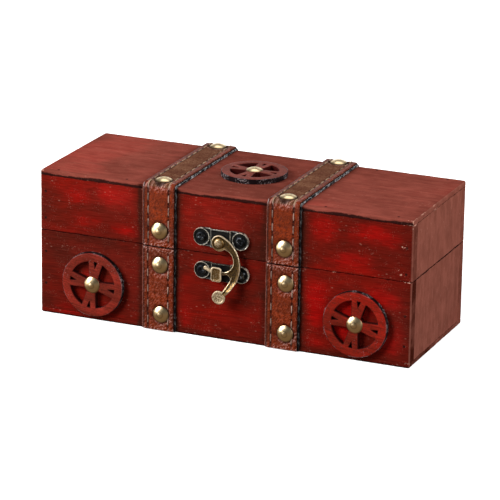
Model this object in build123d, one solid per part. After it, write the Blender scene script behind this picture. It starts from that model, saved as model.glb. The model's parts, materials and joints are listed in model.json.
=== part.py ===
from build123d import *
import math
import os

# Wooden jewelry chest: a box with a hinged lid, two stitched leather straps that run over it,
# three pierced wheel ornaments held by domed tacks, and a swing hook clasp on the front.
# Millimetres. X runs along the chest, the front faces -Y, Z is up.
# The origin is the middle of the underside.

# Boards
chest_length = 225.0
chest_depth = 85.0
base_height = 49.5
lid_height = 35.2
seam_gap = 0.3
wall_thickness = 7.0
top_thickness = 3.0
bottom_thickness = 3.0
edge_radius = 1.2
corner_extra = 0.3

# Straps: a leather face on a black backing, cut in two at the seam
strap_width = 18.5
left_strap_x = -37.9
right_strap_x = 37.2
leather_thickness = 1.3
backing_thickness = 0.9
backing_overhang = 1.0
strap_parting = 0.8
strap_foot = 0.5

# Domed tacks
tack_diameter = 9.5
tack_height = 1.7
tack_rim = 0.3
tack_shank_diameter = 1.6
tack_point = 1.6
strap_tack_reach = 7.5
wheel_tack_reach = 5.3
lid_tack_above_seam = 9.6
base_tack_below_seam = 10.4
low_tack_height = 10.2
top_tack_from_edge = 5.0
# How far each hand-set tack stands to the right of its strap's middle: lid, upper base, lower base
left_tack_shifts = (0.6, 1.0, 1.8)
right_tack_shifts = (0.9, 2.2, 2.4)

# Wheel ornaments
wheel_diameter = 37.8
wheel_thickness = 3.0
wheel_rim = 5.1
wheel_hub_radius = 5.2
spoke_width_at_rim = 9.0
spoke_width_at_hub = 4.0
slit_width = 2.1
slit_length = 3.8
left_wheel_from_end = 33.9
right_wheel_from_end = 31.6
front_wheel_foot = 2.9
front_wheel_turn = -9.3
lid_wheel_x = 1.0
lid_wheel_turn = -4.0

# Clasp: pressed plates, a hook on a rivet and a keeper tab
latch_plate_length = 33.1
latch_plate_height = 10.7
keeper_plate_length = 33.0
keeper_plate_height = 10.3
sheet_thickness = 1.0
pressed_rise = 1.3
pressed_half_width = 5.4
pressed_slope = 1.2
seat_outer_radius = 4.6
seat_inner_radius = 3.8
seat_rise = 0.5
screw_from_middle = 11.9
latch_plate_above_seam = 9.8
keeper_plate_below_seam = 9.6
keeper_plate_x = 0.4
clasp_x = -0.2
pivot_above_seam = 7.95

# Hook, measured from its pivot
hook_thickness = 1.4
hook_stand_off = 0.3
hook_eye_radius = 4.6
hook_reach = 12.8
hook_reach_drop = 12.4
hook_shoulder_angle = 62.0
hook_shoulder = (8.5, -0.7)
hook_heel = (11.3, -20.0)
hook_neck_outer = (4.9, -29.4)
hook_neck_inner = (3.2, -27.4)
hook_tail_inner = (5.9, -22.6)
hook_crotch = (7.3, -19.5)
hook_throat = (8.7, -9.8)
hook_throat_top = (3.2, -3.2)
beak_inner_radius = 16.6
beak_width = 1.7
beak_root_angle = -74.0
beak_tip_angle = -118.0
beak_tip_rounding = 3.0
finger_tab_radius = 3.9
finger_tab_x = 1.2
finger_tab_drop = 30.7
# The tail bends outwards between these drops, so that a finger can get behind its tab
tail_bend_start = 21.5
tail_bend_end = 26.6
finger_tab_rise = 2.8

# Hook rivet
rivet_shank_diameter = 2.4
rivet_head_diameter = 6.0
rivet_head_height = 1.0
rivet_head_gap = 0.1
rivet_tail_diameter = 4.0
rivet_tail_thickness = 0.7

# Keeper tab: its root is below the beak and it stands in front of the beak
keeper_tab_width = 6.3
keeper_tab_height = 8.5
keeper_tab_thickness = 1.0
keeper_tab_corner = 1.5
keeper_tab_x = -1.0
keeper_tab_below_beak = 0.45
beak_root_gap = 1.25
beak_front_gap = 0.55

# Clasp screws
screw_head_diameter = 5.5
screw_head_height = 1.1
screw_head_edge = 0.45
screw_shank_diameter = 2.2
screw_reach = 6.0
cross_slot_length = 3.4
cross_slot_width = 0.8
cross_slot_depth = 0.6

# Butt hinges on the back
hinge_from_end = 36.5
hinge_length = 20.0
hinge_leaf_height = 10.5
hinge_leaf_thickness = 0.9
hinge_leaf_corner = 1.5
hinge_barrel_radius = 2.4
hinge_pin_diameter = 1.6
hinge_knuckles = 5
hinge_play = 0.3
hinge_nail_from_middle = 6.2
hinge_nail_from_pin = 6.8

# Nails
brad_head_diameter = 2.0
brad_head_thickness = 0.5
brad_shank_diameter = 1.1
brad_reach = 14.0
hinge_nail_head_diameter = 2.8
hinge_nail_head_height = 0.7
hinge_nail_shank_diameter = 1.2
hinge_nail_reach = 5.0
# How far each hand-driven brad stands from the seam, at the left and at the right end
lid_left_near_brad = 7.35
lid_left_far_brad = 22.85
lid_right_near_brad = 4.35
lid_right_far_brad = 19.35
base_left_near_brad = 12.65
base_left_far_brad = 31.65
base_right_near_brad = 19.65
base_right_far_brad = 37.05
panel_brad_spread = (-0.94, -0.55, 0.55, 0.94)

# Clearances
shank_clearance = 0.05
running_clearance = 0.05

# Derived places
chest_height = base_height + seam_gap + lid_height
seam_height = base_height + seam_gap / 2
lid_underside = base_height + seam_gap
half_length = chest_length / 2
half_depth = chest_depth / 2
strap_thickness = leather_thickness + backing_thickness
pressed_top = pressed_rise + sheet_thickness
pivot_height = seam_height + pivot_above_seam
latch_plate_z = seam_height + latch_plate_above_seam
keeper_plate_z = seam_height - keeper_plate_below_seam
hook_back = max(pressed_top, strap_thickness, sheet_thickness + screw_head_height) + hook_stand_off
hook_front = hook_back + hook_thickness
keeper_tab_back = hook_front + beak_front_gap
beak_outer_radius = beak_inner_radius + beak_width
keeper_tab_below_pivot = beak_inner_radius + beak_width / 2 + keeper_tab_below_beak
keeper_tab_z = pivot_height - keeper_tab_below_pivot
keeper_root_height = keeper_tab_below_pivot + keeper_tab_height / 2 - beak_outer_radius - beak_root_gap
hinge_from_middle = half_length - hinge_from_end
front_wheel_height = front_wheel_foot + wheel_diameter / 2
hinge_axis_offset = max(hinge_barrel_radius, strap_thickness) + hinge_play

LOW = (Align.CENTER, Align.CENTER, Align.MIN)
HIGH = (Align.CENTER, Align.CENTER, Align.MAX)


# Places on the faces of the chest. Local z points out of the face.
def on_front(x, z, stand=0.0):
    return Plane(origin=(x, -half_depth - stand, z), x_dir=(1, 0, 0), z_dir=(0, -1, 0)).location


def on_back(x, z, stand=0.0):
    return Plane(origin=(x, half_depth + stand, z), x_dir=(-1, 0, 0), z_dir=(0, 1, 0)).location


def on_top(x, y, stand=0.0):
    return Plane(origin=(x, y, chest_height + stand), x_dir=(1, 0, 0), z_dir=(0, 0, 1)).location


def on_underside(x, y):
    return Plane(origin=(x, y, 0), x_dir=(1, 0, 0), z_dir=(0, 0, -1)).location


def block(x_range, y_range, z_range):
    size = [high - low for low, high in (x_range, y_range, z_range)]
    middle = [(high + low) / 2 for low, high in (x_range, y_range, z_range)]
    return Pos(*middle) * Box(*size)


def boxes_meet(a, b):
    box_a = a.bounding_box()
    box_b = b.bounding_box()
    lows = zip(box_a.min, box_b.min)
    highs = zip(box_a.max, box_b.max)
    return all(max(low) < min(high) for low, high in zip(lows, highs))


def drilled(piece, holes):
    for hole in holes:
        if boxes_meet(piece, hole):
            piece = piece - hole
    return piece


# Fasteners, each built point down at the origin with its head above z = 0
def domed_cap(radius, height, rim):
    dome_height = height - rim
    sphere_radius = (radius**2 + dome_height**2) / (2 * dome_height)
    dome = Pos(0, 0, height - sphere_radius) * Sphere(sphere_radius)
    return dome & Cylinder(radius, height, align=LOW)


def pointed_shank(radius, reach, point):
    straight = Cylinder(radius, reach - point, align=HIGH)
    tip = Pos(0, 0, point - reach) * Rot(180, 0, 0) * Cone(radius, radius / 4, point, align=LOW)
    return straight + tip


def shank_hole(radius, reach):
    return Cylinder(radius + shank_clearance, reach + shank_clearance, align=HIGH)


def domed_tack(reach):
    shank = pointed_shank(tack_shank_diameter / 2, reach, tack_point)
    return domed_cap(tack_diameter / 2, tack_height, tack_rim) + shank


def tack_hole(reach):
    return shank_hole(tack_shank_diameter / 2, reach)


def brad():
    head = Cylinder(brad_head_diameter / 2, brad_head_thickness, align=HIGH)
    shank = pointed_shank(brad_shank_diameter / 2, brad_reach, brad_head_diameter / 2)
    return head + shank


def brad_hole():
    head = Cylinder(brad_head_diameter / 2 + shank_clearance, brad_head_thickness, align=HIGH)
    return head + shank_hole(brad_shank_diameter / 2, brad_reach)


def hinge_nail():
    head = domed_cap(hinge_nail_head_diameter / 2, hinge_nail_head_height, hinge_nail_head_height / 3)
    return head + pointed_shank(hinge_nail_shank_diameter / 2, hinge_nail_reach, hinge_nail_shank_diameter)


def clasp_screw():
    head = Cylinder(screw_head_diameter / 2, screw_head_height, align=LOW)
    head = fillet(head.edges().group_by(Axis.Z)[-1], screw_head_edge)
    slot = Pos(0, 0, screw_head_height) * Box(cross_slot_length, cross_slot_width, 2 * cross_slot_depth)
    head = head - slot - Rot(0, 0, 90) * slot
    return head + pointed_shank(screw_shank_diameter / 2, screw_reach, screw_shank_diameter)


def placed(shape, places):
    return [place * shape for place in places]


# Boards
def upright_board(x_range, y_range, z_range, rounded_side):
    board = block(x_range, y_range, z_range)
    corner_edges = board.edges().filter_by(Axis.Z).group_by(Axis.Y)[rounded_side]
    return fillet(corner_edges, edge_radius + corner_extra)


def wall_set(z_range):
    full = (-half_length, half_length)
    between = (wall_thickness - half_depth, half_depth - wall_thickness)
    front = upright_board(full, (-half_depth, wall_thickness - half_depth), z_range, 0)
    back = upright_board(full, (half_depth - wall_thickness, half_depth), z_range, -1)
    left = block((-half_length, wall_thickness - half_length), between, z_range)
    right = block((half_length - wall_thickness, half_length), between, z_range)
    return front, back, left, right


def panel(z_range, rounded_face):
    board = block((-half_length, half_length), (-half_depth, half_depth), z_range)
    board = fillet(board.edges().filter_by(Axis.Z), edge_radius + corner_extra)
    return fillet(board.edges().group_by(Axis.Z)[rounded_face], edge_radius)


# Straps
def strap_form(x, width, stand):
    height = chest_height + stand - seam_height - strap_parting / 2
    form = Box(width, chest_depth + 2 * stand, height, align=LOW)
    bends = form.edges().filter_by(Axis.X).group_by(Axis.Z)[-1]
    return Pos(x, 0, seam_height + strap_parting / 2) * fillet(bends, edge_radius + stand)


def lid_strap(x, width, inner_stand, outer_stand):
    return strap_form(x, width, outer_stand) - strap_form(x, width, inner_stand)


def base_strap(x, side, width, inner_stand, outer_stand):
    ys = sorted((side * (half_depth + inner_stand), side * (half_depth + outer_stand)))
    top = seam_height - strap_parting / 2
    return block((x - width / 2, x + width / 2), ys, (strap_foot, top))


# Wheel ornament, lying on z = 0
def wheel():
    window_radius = wheel_diameter / 2 - wheel_rim
    slit_tip = window_radius - slit_length
    windows = Circle(window_radius) - Circle(wheel_hub_radius)
    spoke = Polygon(
        (0, -spoke_width_at_hub / 2),
        (window_radius, -spoke_width_at_rim / 2),
        (window_radius, spoke_width_at_rim / 2),
        (0, spoke_width_at_hub / 2),
        align=None,
    )
    slit = Polygon(
        (slit_tip, 0),
        (window_radius, -slit_width / 2),
        (window_radius, slit_width / 2),
        align=None,
    )
    face = Circle(wheel_diameter / 2)
    for turn in range(4):
        windows = windows - Rot(0, 0, 90 * turn) * spoke
    face = face - windows
    for turn in range(4):
        face = face - Rot(0, 0, 90 * turn) * slit
    face = face - Circle(tack_shank_diameter / 2 + shank_clearance)
    return extrude(face, wheel_thickness)


# Pressed clasp plate, lying on z = 0, with its middle pressed up and a raised rim round each screw
def pressed_plate(length, height, hole_x, hole_y, hole_diameter):
    half = length / 2
    foot = pressed_half_width + pressed_slope
    lower = [(-half, 0), (-foot, 0), (-pressed_half_width, pressed_rise)]
    lower = lower + [(-x, z) for x, z in reversed(lower)]
    upper = [(x, z + sheet_thickness) for x, z in reversed(lower)]
    section = make_face(Polyline(*lower, *upper, close=True))
    sheet = extrude(Plane.XZ * section, height, both=True)
    seats = [Pos(side * screw_from_middle, 0, 0) for side in (-1, 1)]
    rim_height = sheet_thickness + seat_rise
    for seat in seats:
        rim = Cylinder(seat_outer_radius, rim_height, align=LOW)
        sheet = sheet + seat * (rim - Cylinder(seat_inner_radius, rim_height, align=LOW))
    outline = extrude(SlotOverall(length, height), pressed_top)
    plate = sheet & outline
    for seat in seats:
        plate = plate - seat * Cylinder(screw_shank_diameter / 2 + shank_clearance, rim_height, align=LOW)
    hole = Cylinder(hole_diameter / 2 + shank_clearance, pressed_top, align=LOW)
    return plate - Pos(hole_x, hole_y, 0) * hole


# Hook, lying on z = 0 with its pivot at the origin
def polar(radius, angle):
    return (radius * math.cos(math.radians(angle)), radius * math.sin(math.radians(angle)))


def hook():
    shoulder_start = polar(hook_eye_radius, hook_shoulder_angle)
    widest = (hook_reach, -hook_reach_drop)
    beak_middle_angle = (beak_root_angle + beak_tip_angle) / 2
    beak_middle_radius = (beak_inner_radius + beak_outer_radius) / 2
    beak_tip = polar(beak_middle_radius, beak_tip_angle - beak_tip_rounding)
    beak_root = polar(beak_inner_radius, beak_root_angle)
    beak_inner_tip = polar(beak_inner_radius, beak_tip_angle)
    beak_outer_tip = polar(beak_outer_radius, beak_tip_angle)
    beak_outer_root = polar(beak_outer_radius, beak_root_angle)
    edges = [
        ThreePointArc(shoulder_start, hook_shoulder, widest),
        ThreePointArc(widest, hook_heel, hook_neck_outer),
        Line(hook_neck_outer, hook_neck_inner),
        ThreePointArc(hook_neck_inner, hook_tail_inner, hook_crotch),
        Line(hook_crotch, beak_outer_root),
        ThreePointArc(beak_outer_root, polar(beak_outer_radius, beak_middle_angle), beak_outer_tip),
        ThreePointArc(beak_outer_tip, beak_tip, beak_inner_tip),
        ThreePointArc(beak_inner_tip, polar(beak_inner_radius, beak_middle_angle), beak_root),
        ThreePointArc(beak_root, hook_throat, hook_throat_top),
        Line(hook_throat_top, shoulder_start),
    ]
    outline = make_face(edges)
    outline = outline + Circle(hook_eye_radius)
    outline = outline + Pos(finger_tab_x, -finger_tab_drop) * Circle(finger_tab_radius)
    outline = outline - Circle(rivet_shank_diameter / 2 + running_clearance)
    blank = extrude(outline, finger_tab_rise + hook_thickness)
    top = hook_eye_radius + hook_thickness
    bottom = -finger_tab_drop - finger_tab_radius - hook_thickness
    back = [(top, 0), (-tail_bend_start, 0), (-tail_bend_end, finger_tab_rise), (bottom, finger_tab_rise)]
    front = [(y, z + hook_thickness) for y, z in reversed(back)]
    bent = extrude(Plane.YZ * make_face(Polyline(*back, *front, close=True)), 2 * finger_tab_drop, both=True)
    return blank & bent


# Rivet that carries the hook, with z = 0 at the front face of the chest
def hook_rivet():
    head_foot = hook_front + rivet_head_gap
    tail_top = pressed_rise
    head = Pos(0, 0, head_foot) * domed_cap(rivet_head_diameter / 2, rivet_head_height, rivet_head_height / 4)
    shank = Pos(0, 0, tail_top) * Cylinder(rivet_shank_diameter / 2, head_foot - tail_top, align=LOW)
    tail = Pos(0, 0, tail_top) * Cylinder(rivet_tail_diameter / 2, rivet_tail_thickness, align=HIGH)
    return head + shank + tail


# Keeper tab, with z = 0 at the front face of the chest and its root through the keeper plate
def keeper_tab():
    half_height = keeper_tab_height / 2
    face = RectangleRounded(keeper_tab_width, keeper_tab_height, keeper_tab_corner)
    tab = Pos(0, 0, keeper_tab_back) * extrude(face, keeper_tab_thickness)
    root_y = keeper_root_height / 2 - half_height
    root_width = keeper_tab_width - 2 * keeper_tab_corner
    root_length = keeper_tab_back - pressed_top
    root = Pos(0, root_y, pressed_top) * Box(root_width, keeper_root_height, root_length, align=LOW)
    shank_length = pressed_top - pressed_rise
    shank = Pos(0, root_y, pressed_rise) * Cylinder(rivet_shank_diameter / 2, shank_length, align=LOW)
    tail_diameter = min(rivet_tail_diameter, keeper_root_height + rivet_shank_diameter / 2)
    tail = Pos(0, root_y, pressed_rise) * Cylinder(tail_diameter / 2, rivet_tail_thickness, align=HIGH)
    return tab + root + shank + tail


# Butt hinge in the place on_back gives: local x along the pin, local y up, local z out of the board
def along_pin(radius, length, x=0.0):
    return Pos(x, 0, hinge_axis_offset) * Rot(0, 90, 0) * Cylinder(radius, length)


def hinge_leaf(side):
    pitch = hinge_length / hinge_knuckles
    middles = [(number + 0.5) * pitch - hinge_length / 2 for number in range(hinge_knuckles)]
    first = 0 if side < 0 else 1
    own = middles[first::2]
    others = middles[1 - first :: 2]
    low = hinge_play
    plate = Pos(0, side * (low + hinge_leaf_height) / 2, 0) * Box(
        hinge_length, hinge_leaf_height - low, hinge_leaf_thickness, align=LOW
    )
    far_side = 0 if side < 0 else -1
    plate = fillet(plate.edges().filter_by(Axis.Z).group_by(Axis.Y)[far_side], hinge_leaf_corner)
    leaf = plate
    for x in own:
        leaf = leaf + along_pin(hinge_barrel_radius, pitch - hinge_play, x)
    for x in others:
        leaf = leaf - along_pin(hinge_barrel_radius + hinge_play, pitch + hinge_play, x)
    leaf = leaf - along_pin(hinge_pin_diameter / 2 + running_clearance, hinge_length)
    for end in (-1, 1):
        spot = Pos(end * hinge_nail_from_middle, side * hinge_nail_from_pin, hinge_leaf_thickness)
        leaf = leaf - spot * shank_hole(hinge_nail_shank_diameter / 2, hinge_nail_reach)
    return leaf


def hinge_nail_places(side):
    z = seam_height + side * hinge_nail_from_pin
    return [
        on_back(hinge_x + end * hinge_nail_from_middle, z, hinge_leaf_thickness)
        for hinge_x in (-hinge_from_middle, hinge_from_middle)
        for end in (-1, 1)
    ]


# Where the tacks stand
strap_middles = {"left": left_strap_x, "right": right_strap_x}
tack_shifts = {"left": left_tack_shifts, "right": right_tack_shifts}
lid_tack_z = seam_height + lid_tack_above_seam
base_tack_z = seam_height - base_tack_below_seam
top_tack_y = half_depth - top_tack_from_edge


def base_tack_places(face):
    return [
        face(strap_middles[name] + shift, z, strap_thickness)
        for name in strap_middles
        for shift, z in zip(tack_shifts[name][1:], (base_tack_z, low_tack_height))
    ]


def lid_tack_places(face):
    return [
        face(strap_middles[name] + tack_shifts[name][0], lid_tack_z, strap_thickness)
        for name in strap_middles
    ]


base_front_tacks = base_tack_places(on_front)
base_back_tacks = base_tack_places(on_back)
lid_front_tacks = lid_tack_places(on_front)
lid_back_tacks = lid_tack_places(on_back)
lid_top_tacks = [
    on_top(x, y, strap_thickness)
    for x in strap_middles.values()
    for y in (-top_tack_y, top_tack_y)
]
front_wheels = {
    "left": on_front(left_wheel_from_end - half_length, front_wheel_height),
    "right": on_front(half_length - right_wheel_from_end, front_wheel_height),
}
lid_wheel = on_top(lid_wheel_x, 0)
wheel_face = Pos(0, 0, wheel_thickness)
wheel_tack_places = [place * wheel_face for place in front_wheels.values()]

# Where the brads stand: through the front and back boards into the ends, and through the panels
brad_from_end = wall_thickness / 2


def end_brad_places(heights_from_seam, way):
    return [
        face(side * (half_length - brad_from_end), seam_height + way * height)
        for face in (on_front, on_back)
        for side in heights_from_seam
        for height in heights_from_seam[side]
    ]


def panel_brad_places(face):
    reach = half_length - brad_from_end
    row = half_depth - brad_from_end
    return [face(share * reach, y) for share in panel_brad_spread for y in (-row, row)]


lid_brads_above_seam = {
    -1: (lid_left_near_brad, lid_left_far_brad),
    1: (lid_right_near_brad, lid_right_far_brad),
}
base_brads_below_seam = {
    -1: (base_left_near_brad, base_left_far_brad),
    1: (base_right_near_brad, base_right_far_brad),
}
base_end_brads = end_brad_places(base_brads_below_seam, -1)
lid_end_brads = end_brad_places(lid_brads_above_seam, 1)
top_brads = panel_brad_places(on_top)
bottom_brads = panel_brad_places(on_underside)

# Where the clasp and the hinges stand
latch_place = on_front(clasp_x, latch_plate_z)
keeper_place = on_front(keeper_plate_x, keeper_plate_z)
pivot_place = on_front(clasp_x, pivot_height)
keeper_tab_place = on_front(clasp_x + keeper_tab_x, keeper_tab_z)
keeper_root_y = keeper_tab_z - keeper_tab_height / 2 + keeper_root_height / 2 - keeper_plate_z
screw_seats = [Pos(side * screw_from_middle, 0, sheet_thickness) for side in (-1, 1)]
latch_screws = [latch_place * seat for seat in screw_seats]
keeper_screws = [keeper_place * seat for seat in screw_seats]
hinge_places = {
    "left": on_back(-hinge_from_middle, seam_height),
    "right": on_back(hinge_from_middle, seam_height),
}

# Every hole that is drilled through straps and boards for the fasteners
strap_hole = tack_hole(strap_tack_reach)
wheel_hole = tack_hole(wheel_tack_reach)
screw_hole = shank_hole(screw_shank_diameter / 2, screw_reach)
nail_hole = shank_hole(hinge_nail_shank_diameter / 2, hinge_nail_reach)
base_holes = (
    placed(strap_hole, base_front_tacks + base_back_tacks)
    + placed(wheel_hole, wheel_tack_places)
    + placed(brad_hole(), base_end_brads + bottom_brads)
    + placed(screw_hole, keeper_screws)
    + placed(nail_hole, hinge_nail_places(-1))
)
lid_holes = (
    placed(strap_hole, lid_front_tacks + lid_back_tacks + lid_top_tacks)
    + placed(wheel_hole, [lid_wheel * wheel_face])
    + placed(brad_hole(), lid_end_brads + top_brads)
    + placed(screw_hole, latch_screws)
    + placed(nail_hole, hinge_nail_places(1))
)

parts = {}

base_walls = wall_set((bottom_thickness, base_height))
lid_walls = wall_set((lid_underside, chest_height - top_thickness))
wall_names = ("front_board", "back_board", "left_end", "right_end")
for wall_name, base_wall, lid_wall in zip(wall_names, base_walls, lid_walls):
    parts[f"base_{wall_name}"] = drilled(base_wall, base_holes)
    parts[f"lid_{wall_name}"] = drilled(lid_wall, lid_holes)
parts["base_bottom_board"] = drilled(panel((0, bottom_thickness), 0), base_holes)
parts["lid_top_board"] = drilled(panel((chest_height - top_thickness, chest_height), -1), lid_holes)

# Each layer's width, and how far its inner and outer faces stand from the boards
layers = {
    "backing": (strap_width + 2 * backing_overhang, 0, backing_thickness),
    "leather": (strap_width, backing_thickness, strap_thickness),
}
for name, x in strap_middles.items():
    for layer, sizes in layers.items():
        parts[f"lid_strap_{name}_{layer}"] = drilled(lid_strap(x, *sizes), lid_holes)
        parts[f"front_strap_{name}_{layer}"] = drilled(base_strap(x, -1, *sizes), base_holes)
        parts[f"back_strap_{name}_{layer}"] = drilled(base_strap(x, 1, *sizes), base_holes)

strap_tack = domed_tack(strap_tack_reach)
wheel_tack = domed_tack(wheel_tack_reach)
parts["base_front_strap_tacks"] = Compound(placed(strap_tack, base_front_tacks))
parts["base_back_strap_tacks"] = Compound(placed(strap_tack, base_back_tacks))
parts["lid_front_strap_tacks"] = Compound(placed(strap_tack, lid_front_tacks))
parts["lid_back_strap_tacks"] = Compound(placed(strap_tack, lid_back_tacks))
parts["lid_top_strap_tacks"] = Compound(placed(strap_tack, lid_top_tacks))
parts["front_wheel_tacks"] = Compound(placed(wheel_tack, wheel_tack_places))
parts["lid_wheel_tack"] = lid_wheel * wheel_face * wheel_tack

front_wheel = Rot(0, 0, front_wheel_turn) * wheel()
for name, place in front_wheels.items():
    parts[f"front_wheel_{name}"] = place * front_wheel
parts["lid_wheel"] = lid_wheel * Rot(0, 0, lid_wheel_turn) * wheel()

parts["base_end_brads"] = Compound(placed(brad(), base_end_brads))
parts["lid_end_brads"] = Compound(placed(brad(), lid_end_brads))
parts["lid_top_brads"] = Compound(placed(brad(), top_brads))
parts["base_bottom_brads"] = Compound(placed(brad(), bottom_brads))

pivot_in_plate = pivot_height - latch_plate_z
keeper_root_x = clasp_x + keeper_tab_x - keeper_plate_x
parts["latch_plate"] = latch_place * pressed_plate(
    latch_plate_length, latch_plate_height, 0, pivot_in_plate, rivet_shank_diameter
)
parts["keeper_plate"] = keeper_place * pressed_plate(
    keeper_plate_length, keeper_plate_height, keeper_root_x, keeper_root_y, rivet_shank_diameter
)
parts["keeper_tab"] = keeper_tab_place * keeper_tab()
parts["latch_screws"] = Compound(placed(clasp_screw(), latch_screws))
parts["keeper_screws"] = Compound(placed(clasp_screw(), keeper_screws))
parts["hook_rivet"] = pivot_place * hook_rivet()
parts["swing_hook"] = pivot_place * Pos(0, 0, hook_back) * hook()

for name, place in hinge_places.items():
    parts[f"hinge_{name}_lower_leaf"] = place * hinge_leaf(-1)
    parts[f"hinge_{name}_upper_leaf"] = place * hinge_leaf(1)
    parts[f"hinge_{name}_pin"] = place * along_pin(hinge_pin_diameter / 2, hinge_length)
parts["hinge_lower_nails"] = Compound(placed(hinge_nail(), hinge_nail_places(-1)))
parts["hinge_upper_nails"] = Compound(placed(hinge_nail(), hinge_nail_places(1)))

os.makedirs("parts", exist_ok=True)
for node, shape in parts.items():
    export_step(shape, f"parts/{node}.step")

print("height", chest_height, "hinge axis y", half_depth + hinge_axis_offset, "z", seam_height)
print("hook pivot x", clasp_x, "z", pivot_height, "hook back", hook_back, "front", hook_front)
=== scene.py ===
"""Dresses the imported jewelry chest: stained boards, stitched straps, tacks, wheels, clasp and hinges."""
import json
import logging
import math
from dataclasses import dataclass, field
from enum import Enum
from typing import Callable, Sequence

import bmesh
import bpy
import numpy as np
from mathutils import Matrix, Quaternion, Vector, noise
from mathutils.geometry import delaunay_2d_cdt


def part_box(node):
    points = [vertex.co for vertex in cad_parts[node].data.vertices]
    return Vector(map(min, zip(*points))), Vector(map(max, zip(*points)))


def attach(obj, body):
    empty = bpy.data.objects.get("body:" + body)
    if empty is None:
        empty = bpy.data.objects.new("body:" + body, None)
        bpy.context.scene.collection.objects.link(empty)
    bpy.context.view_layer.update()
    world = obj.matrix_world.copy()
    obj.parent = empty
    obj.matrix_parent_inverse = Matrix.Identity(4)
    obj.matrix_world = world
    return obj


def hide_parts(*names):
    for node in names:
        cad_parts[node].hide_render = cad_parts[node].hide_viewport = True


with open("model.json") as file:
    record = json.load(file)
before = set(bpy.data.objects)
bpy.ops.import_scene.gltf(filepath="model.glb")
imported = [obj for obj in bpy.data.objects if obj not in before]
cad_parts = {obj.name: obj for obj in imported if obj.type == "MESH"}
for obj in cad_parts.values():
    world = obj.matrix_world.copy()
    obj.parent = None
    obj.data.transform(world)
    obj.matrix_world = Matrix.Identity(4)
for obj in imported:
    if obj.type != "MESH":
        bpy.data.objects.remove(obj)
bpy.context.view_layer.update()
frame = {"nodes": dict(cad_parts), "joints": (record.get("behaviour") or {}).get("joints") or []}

MM = 0.001
log = logging.getLogger("chest")

Array = np.ndarray
Colour = tuple[float, float, float]
Faces = list[tuple[int, ...]]
Loop = np.ndarray
Material = bpy.types.Material
Outputs = bpy.types.bpy_prop_collection
Place = tuple[float, float]
Socket = bpy.types.NodeSocket
HeightField = Callable[[Array, Array], Array]


def srgb(red: int, green: int, blue: int) -> Colour:
    """Turns a screen colour of 0 to 255 into the linear colour that shaders take."""
    shares = (channel / 255 for channel in (red, green, blue))
    return tuple(s / 12.92 if s <= 0.04045 else ((s + 0.055) / 1.055) ** 2.4 for s in shares)


def smooth_step(values: Array, low: float, high: float) -> Array:
    """Rises smoothly from 0 at low to 1 at high, where high may be the lesser of the two."""
    share = np.clip((values - low) / (high - low), 0.0, 1.0)
    return share * share * (3.0 - 2.0 * share)


def rounded_drop(distance: Array, radius: float) -> Array:
    """How far a surface falls at a quarter-round edge, by the distance in from the edge."""
    inward = np.clip(1.0 - distance / radius, 0.0, 1.0)
    return radius * (1.0 - np.sqrt(1.0 - inward**2))


def lumps(points: Array, scale: float, seed: float) -> Array:
    """Smooth seeded noise of about -1 to 1 at each point, with scale lumps to the metre."""
    shift = Vector((seed * 17.3, seed * 5.1, seed * 9.7))
    return np.array([noise.noise(Vector(point) * scale + shift) for point in points])


class Face(Enum):
    """A face of the chest, by its outward direction."""

    FRONT = (0.0, -1.0, 0.0)
    BACK = (0.0, 1.0, 0.0)
    TOP = (0.0, 0.0, 1.0)
    UNDERSIDE = (0.0, 0.0, -1.0)

    def place(self, point: Vector) -> Matrix:
        """The place of a piece that stands at a point of this face.

        Args:
            point: Where the piece's origin goes.

        Returns:
            A matrix whose z points out of the face and whose y points up the upright faces.
        """
        out = Vector(self.value)
        right = Vector((-1.0 if self is Face.BACK else 1.0, 0.0, 0.0))
        turned = Matrix((right, out.cross(right), out)).transposed()
        return Matrix.Translation(point) @ turned.to_4x4()

    def seat(self, low: Vector, high: Vector) -> Matrix:
        """The place at the outermost middle of a fastener's box.

        Args:
            low, high: The fastener's lowest and highest corners.

        Returns:
            A matrix with z out of the face.
        """
        out = Vector(self.value)
        reach = max(low.dot(out), high.dot(out))
        middle = (low + high) / 2
        return self.place(middle + out * (reach - middle.dot(out)))


def islands(node: str) -> list[tuple[Vector, Vector]]:
    """Finds the separate solids of a CAD node.

    Args:
        node: The name of the node.

    Returns:
        The lowest and highest corners of each solid, from left to right.
    """
    work = bmesh.new()
    work.from_mesh(frame["nodes"][node].data)
    bmesh.ops.remove_doubles(work, verts=work.verts, dist=0.001 * MM)
    waiting = set(work.verts)
    boxes = []
    while waiting:
        front = [waiting.pop()]
        corners = []
        while front:
            vertex = front.pop()
            corners.append(vertex.co.copy())
            joined = [edge.other_vert(vertex) for edge in vertex.link_edges]
            fresh = [other for other in joined if other in waiting]
            waiting.difference_update(fresh)
            front.extend(fresh)
        rows = np.array(corners)
        boxes.append((Vector(rows.min(0)), Vector(rows.max(0))))
    work.free()
    return sorted(boxes, key=lambda box: tuple(round(value, 4) for value in box[0]))


@dataclass
class Shape:
    """A bare mesh in metres, with the values that are painted on its points."""

    points: Array
    faces: Faces
    marks: dict[str, Array] = field(default_factory=dict)

    def moved(self, place: Matrix) -> "Shape":
        """The same shape in another place."""
        turn = np.array(place.to_3x3())
        return Shape(self.points @ turn.T + np.array(place.translation), self.faces, self.marks)

    @staticmethod
    def joined(shapes: Sequence["Shape"]) -> "Shape":
        """Several shapes as one.

        Args:
            shapes: The shapes, which carry the same marks.

        Returns:
            One shape with all their points and faces.
        """
        faces = []
        start = 0
        for shape in shapes:
            faces.extend(tuple(start + corner for corner in face) for face in shape.faces)
            start += len(shape.points)
        marks = {name: np.concatenate([shape.marks[name] for shape in shapes]) for name in shapes[0].marks}
        return Shape(np.concatenate([shape.points for shape in shapes]), faces, marks)


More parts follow.
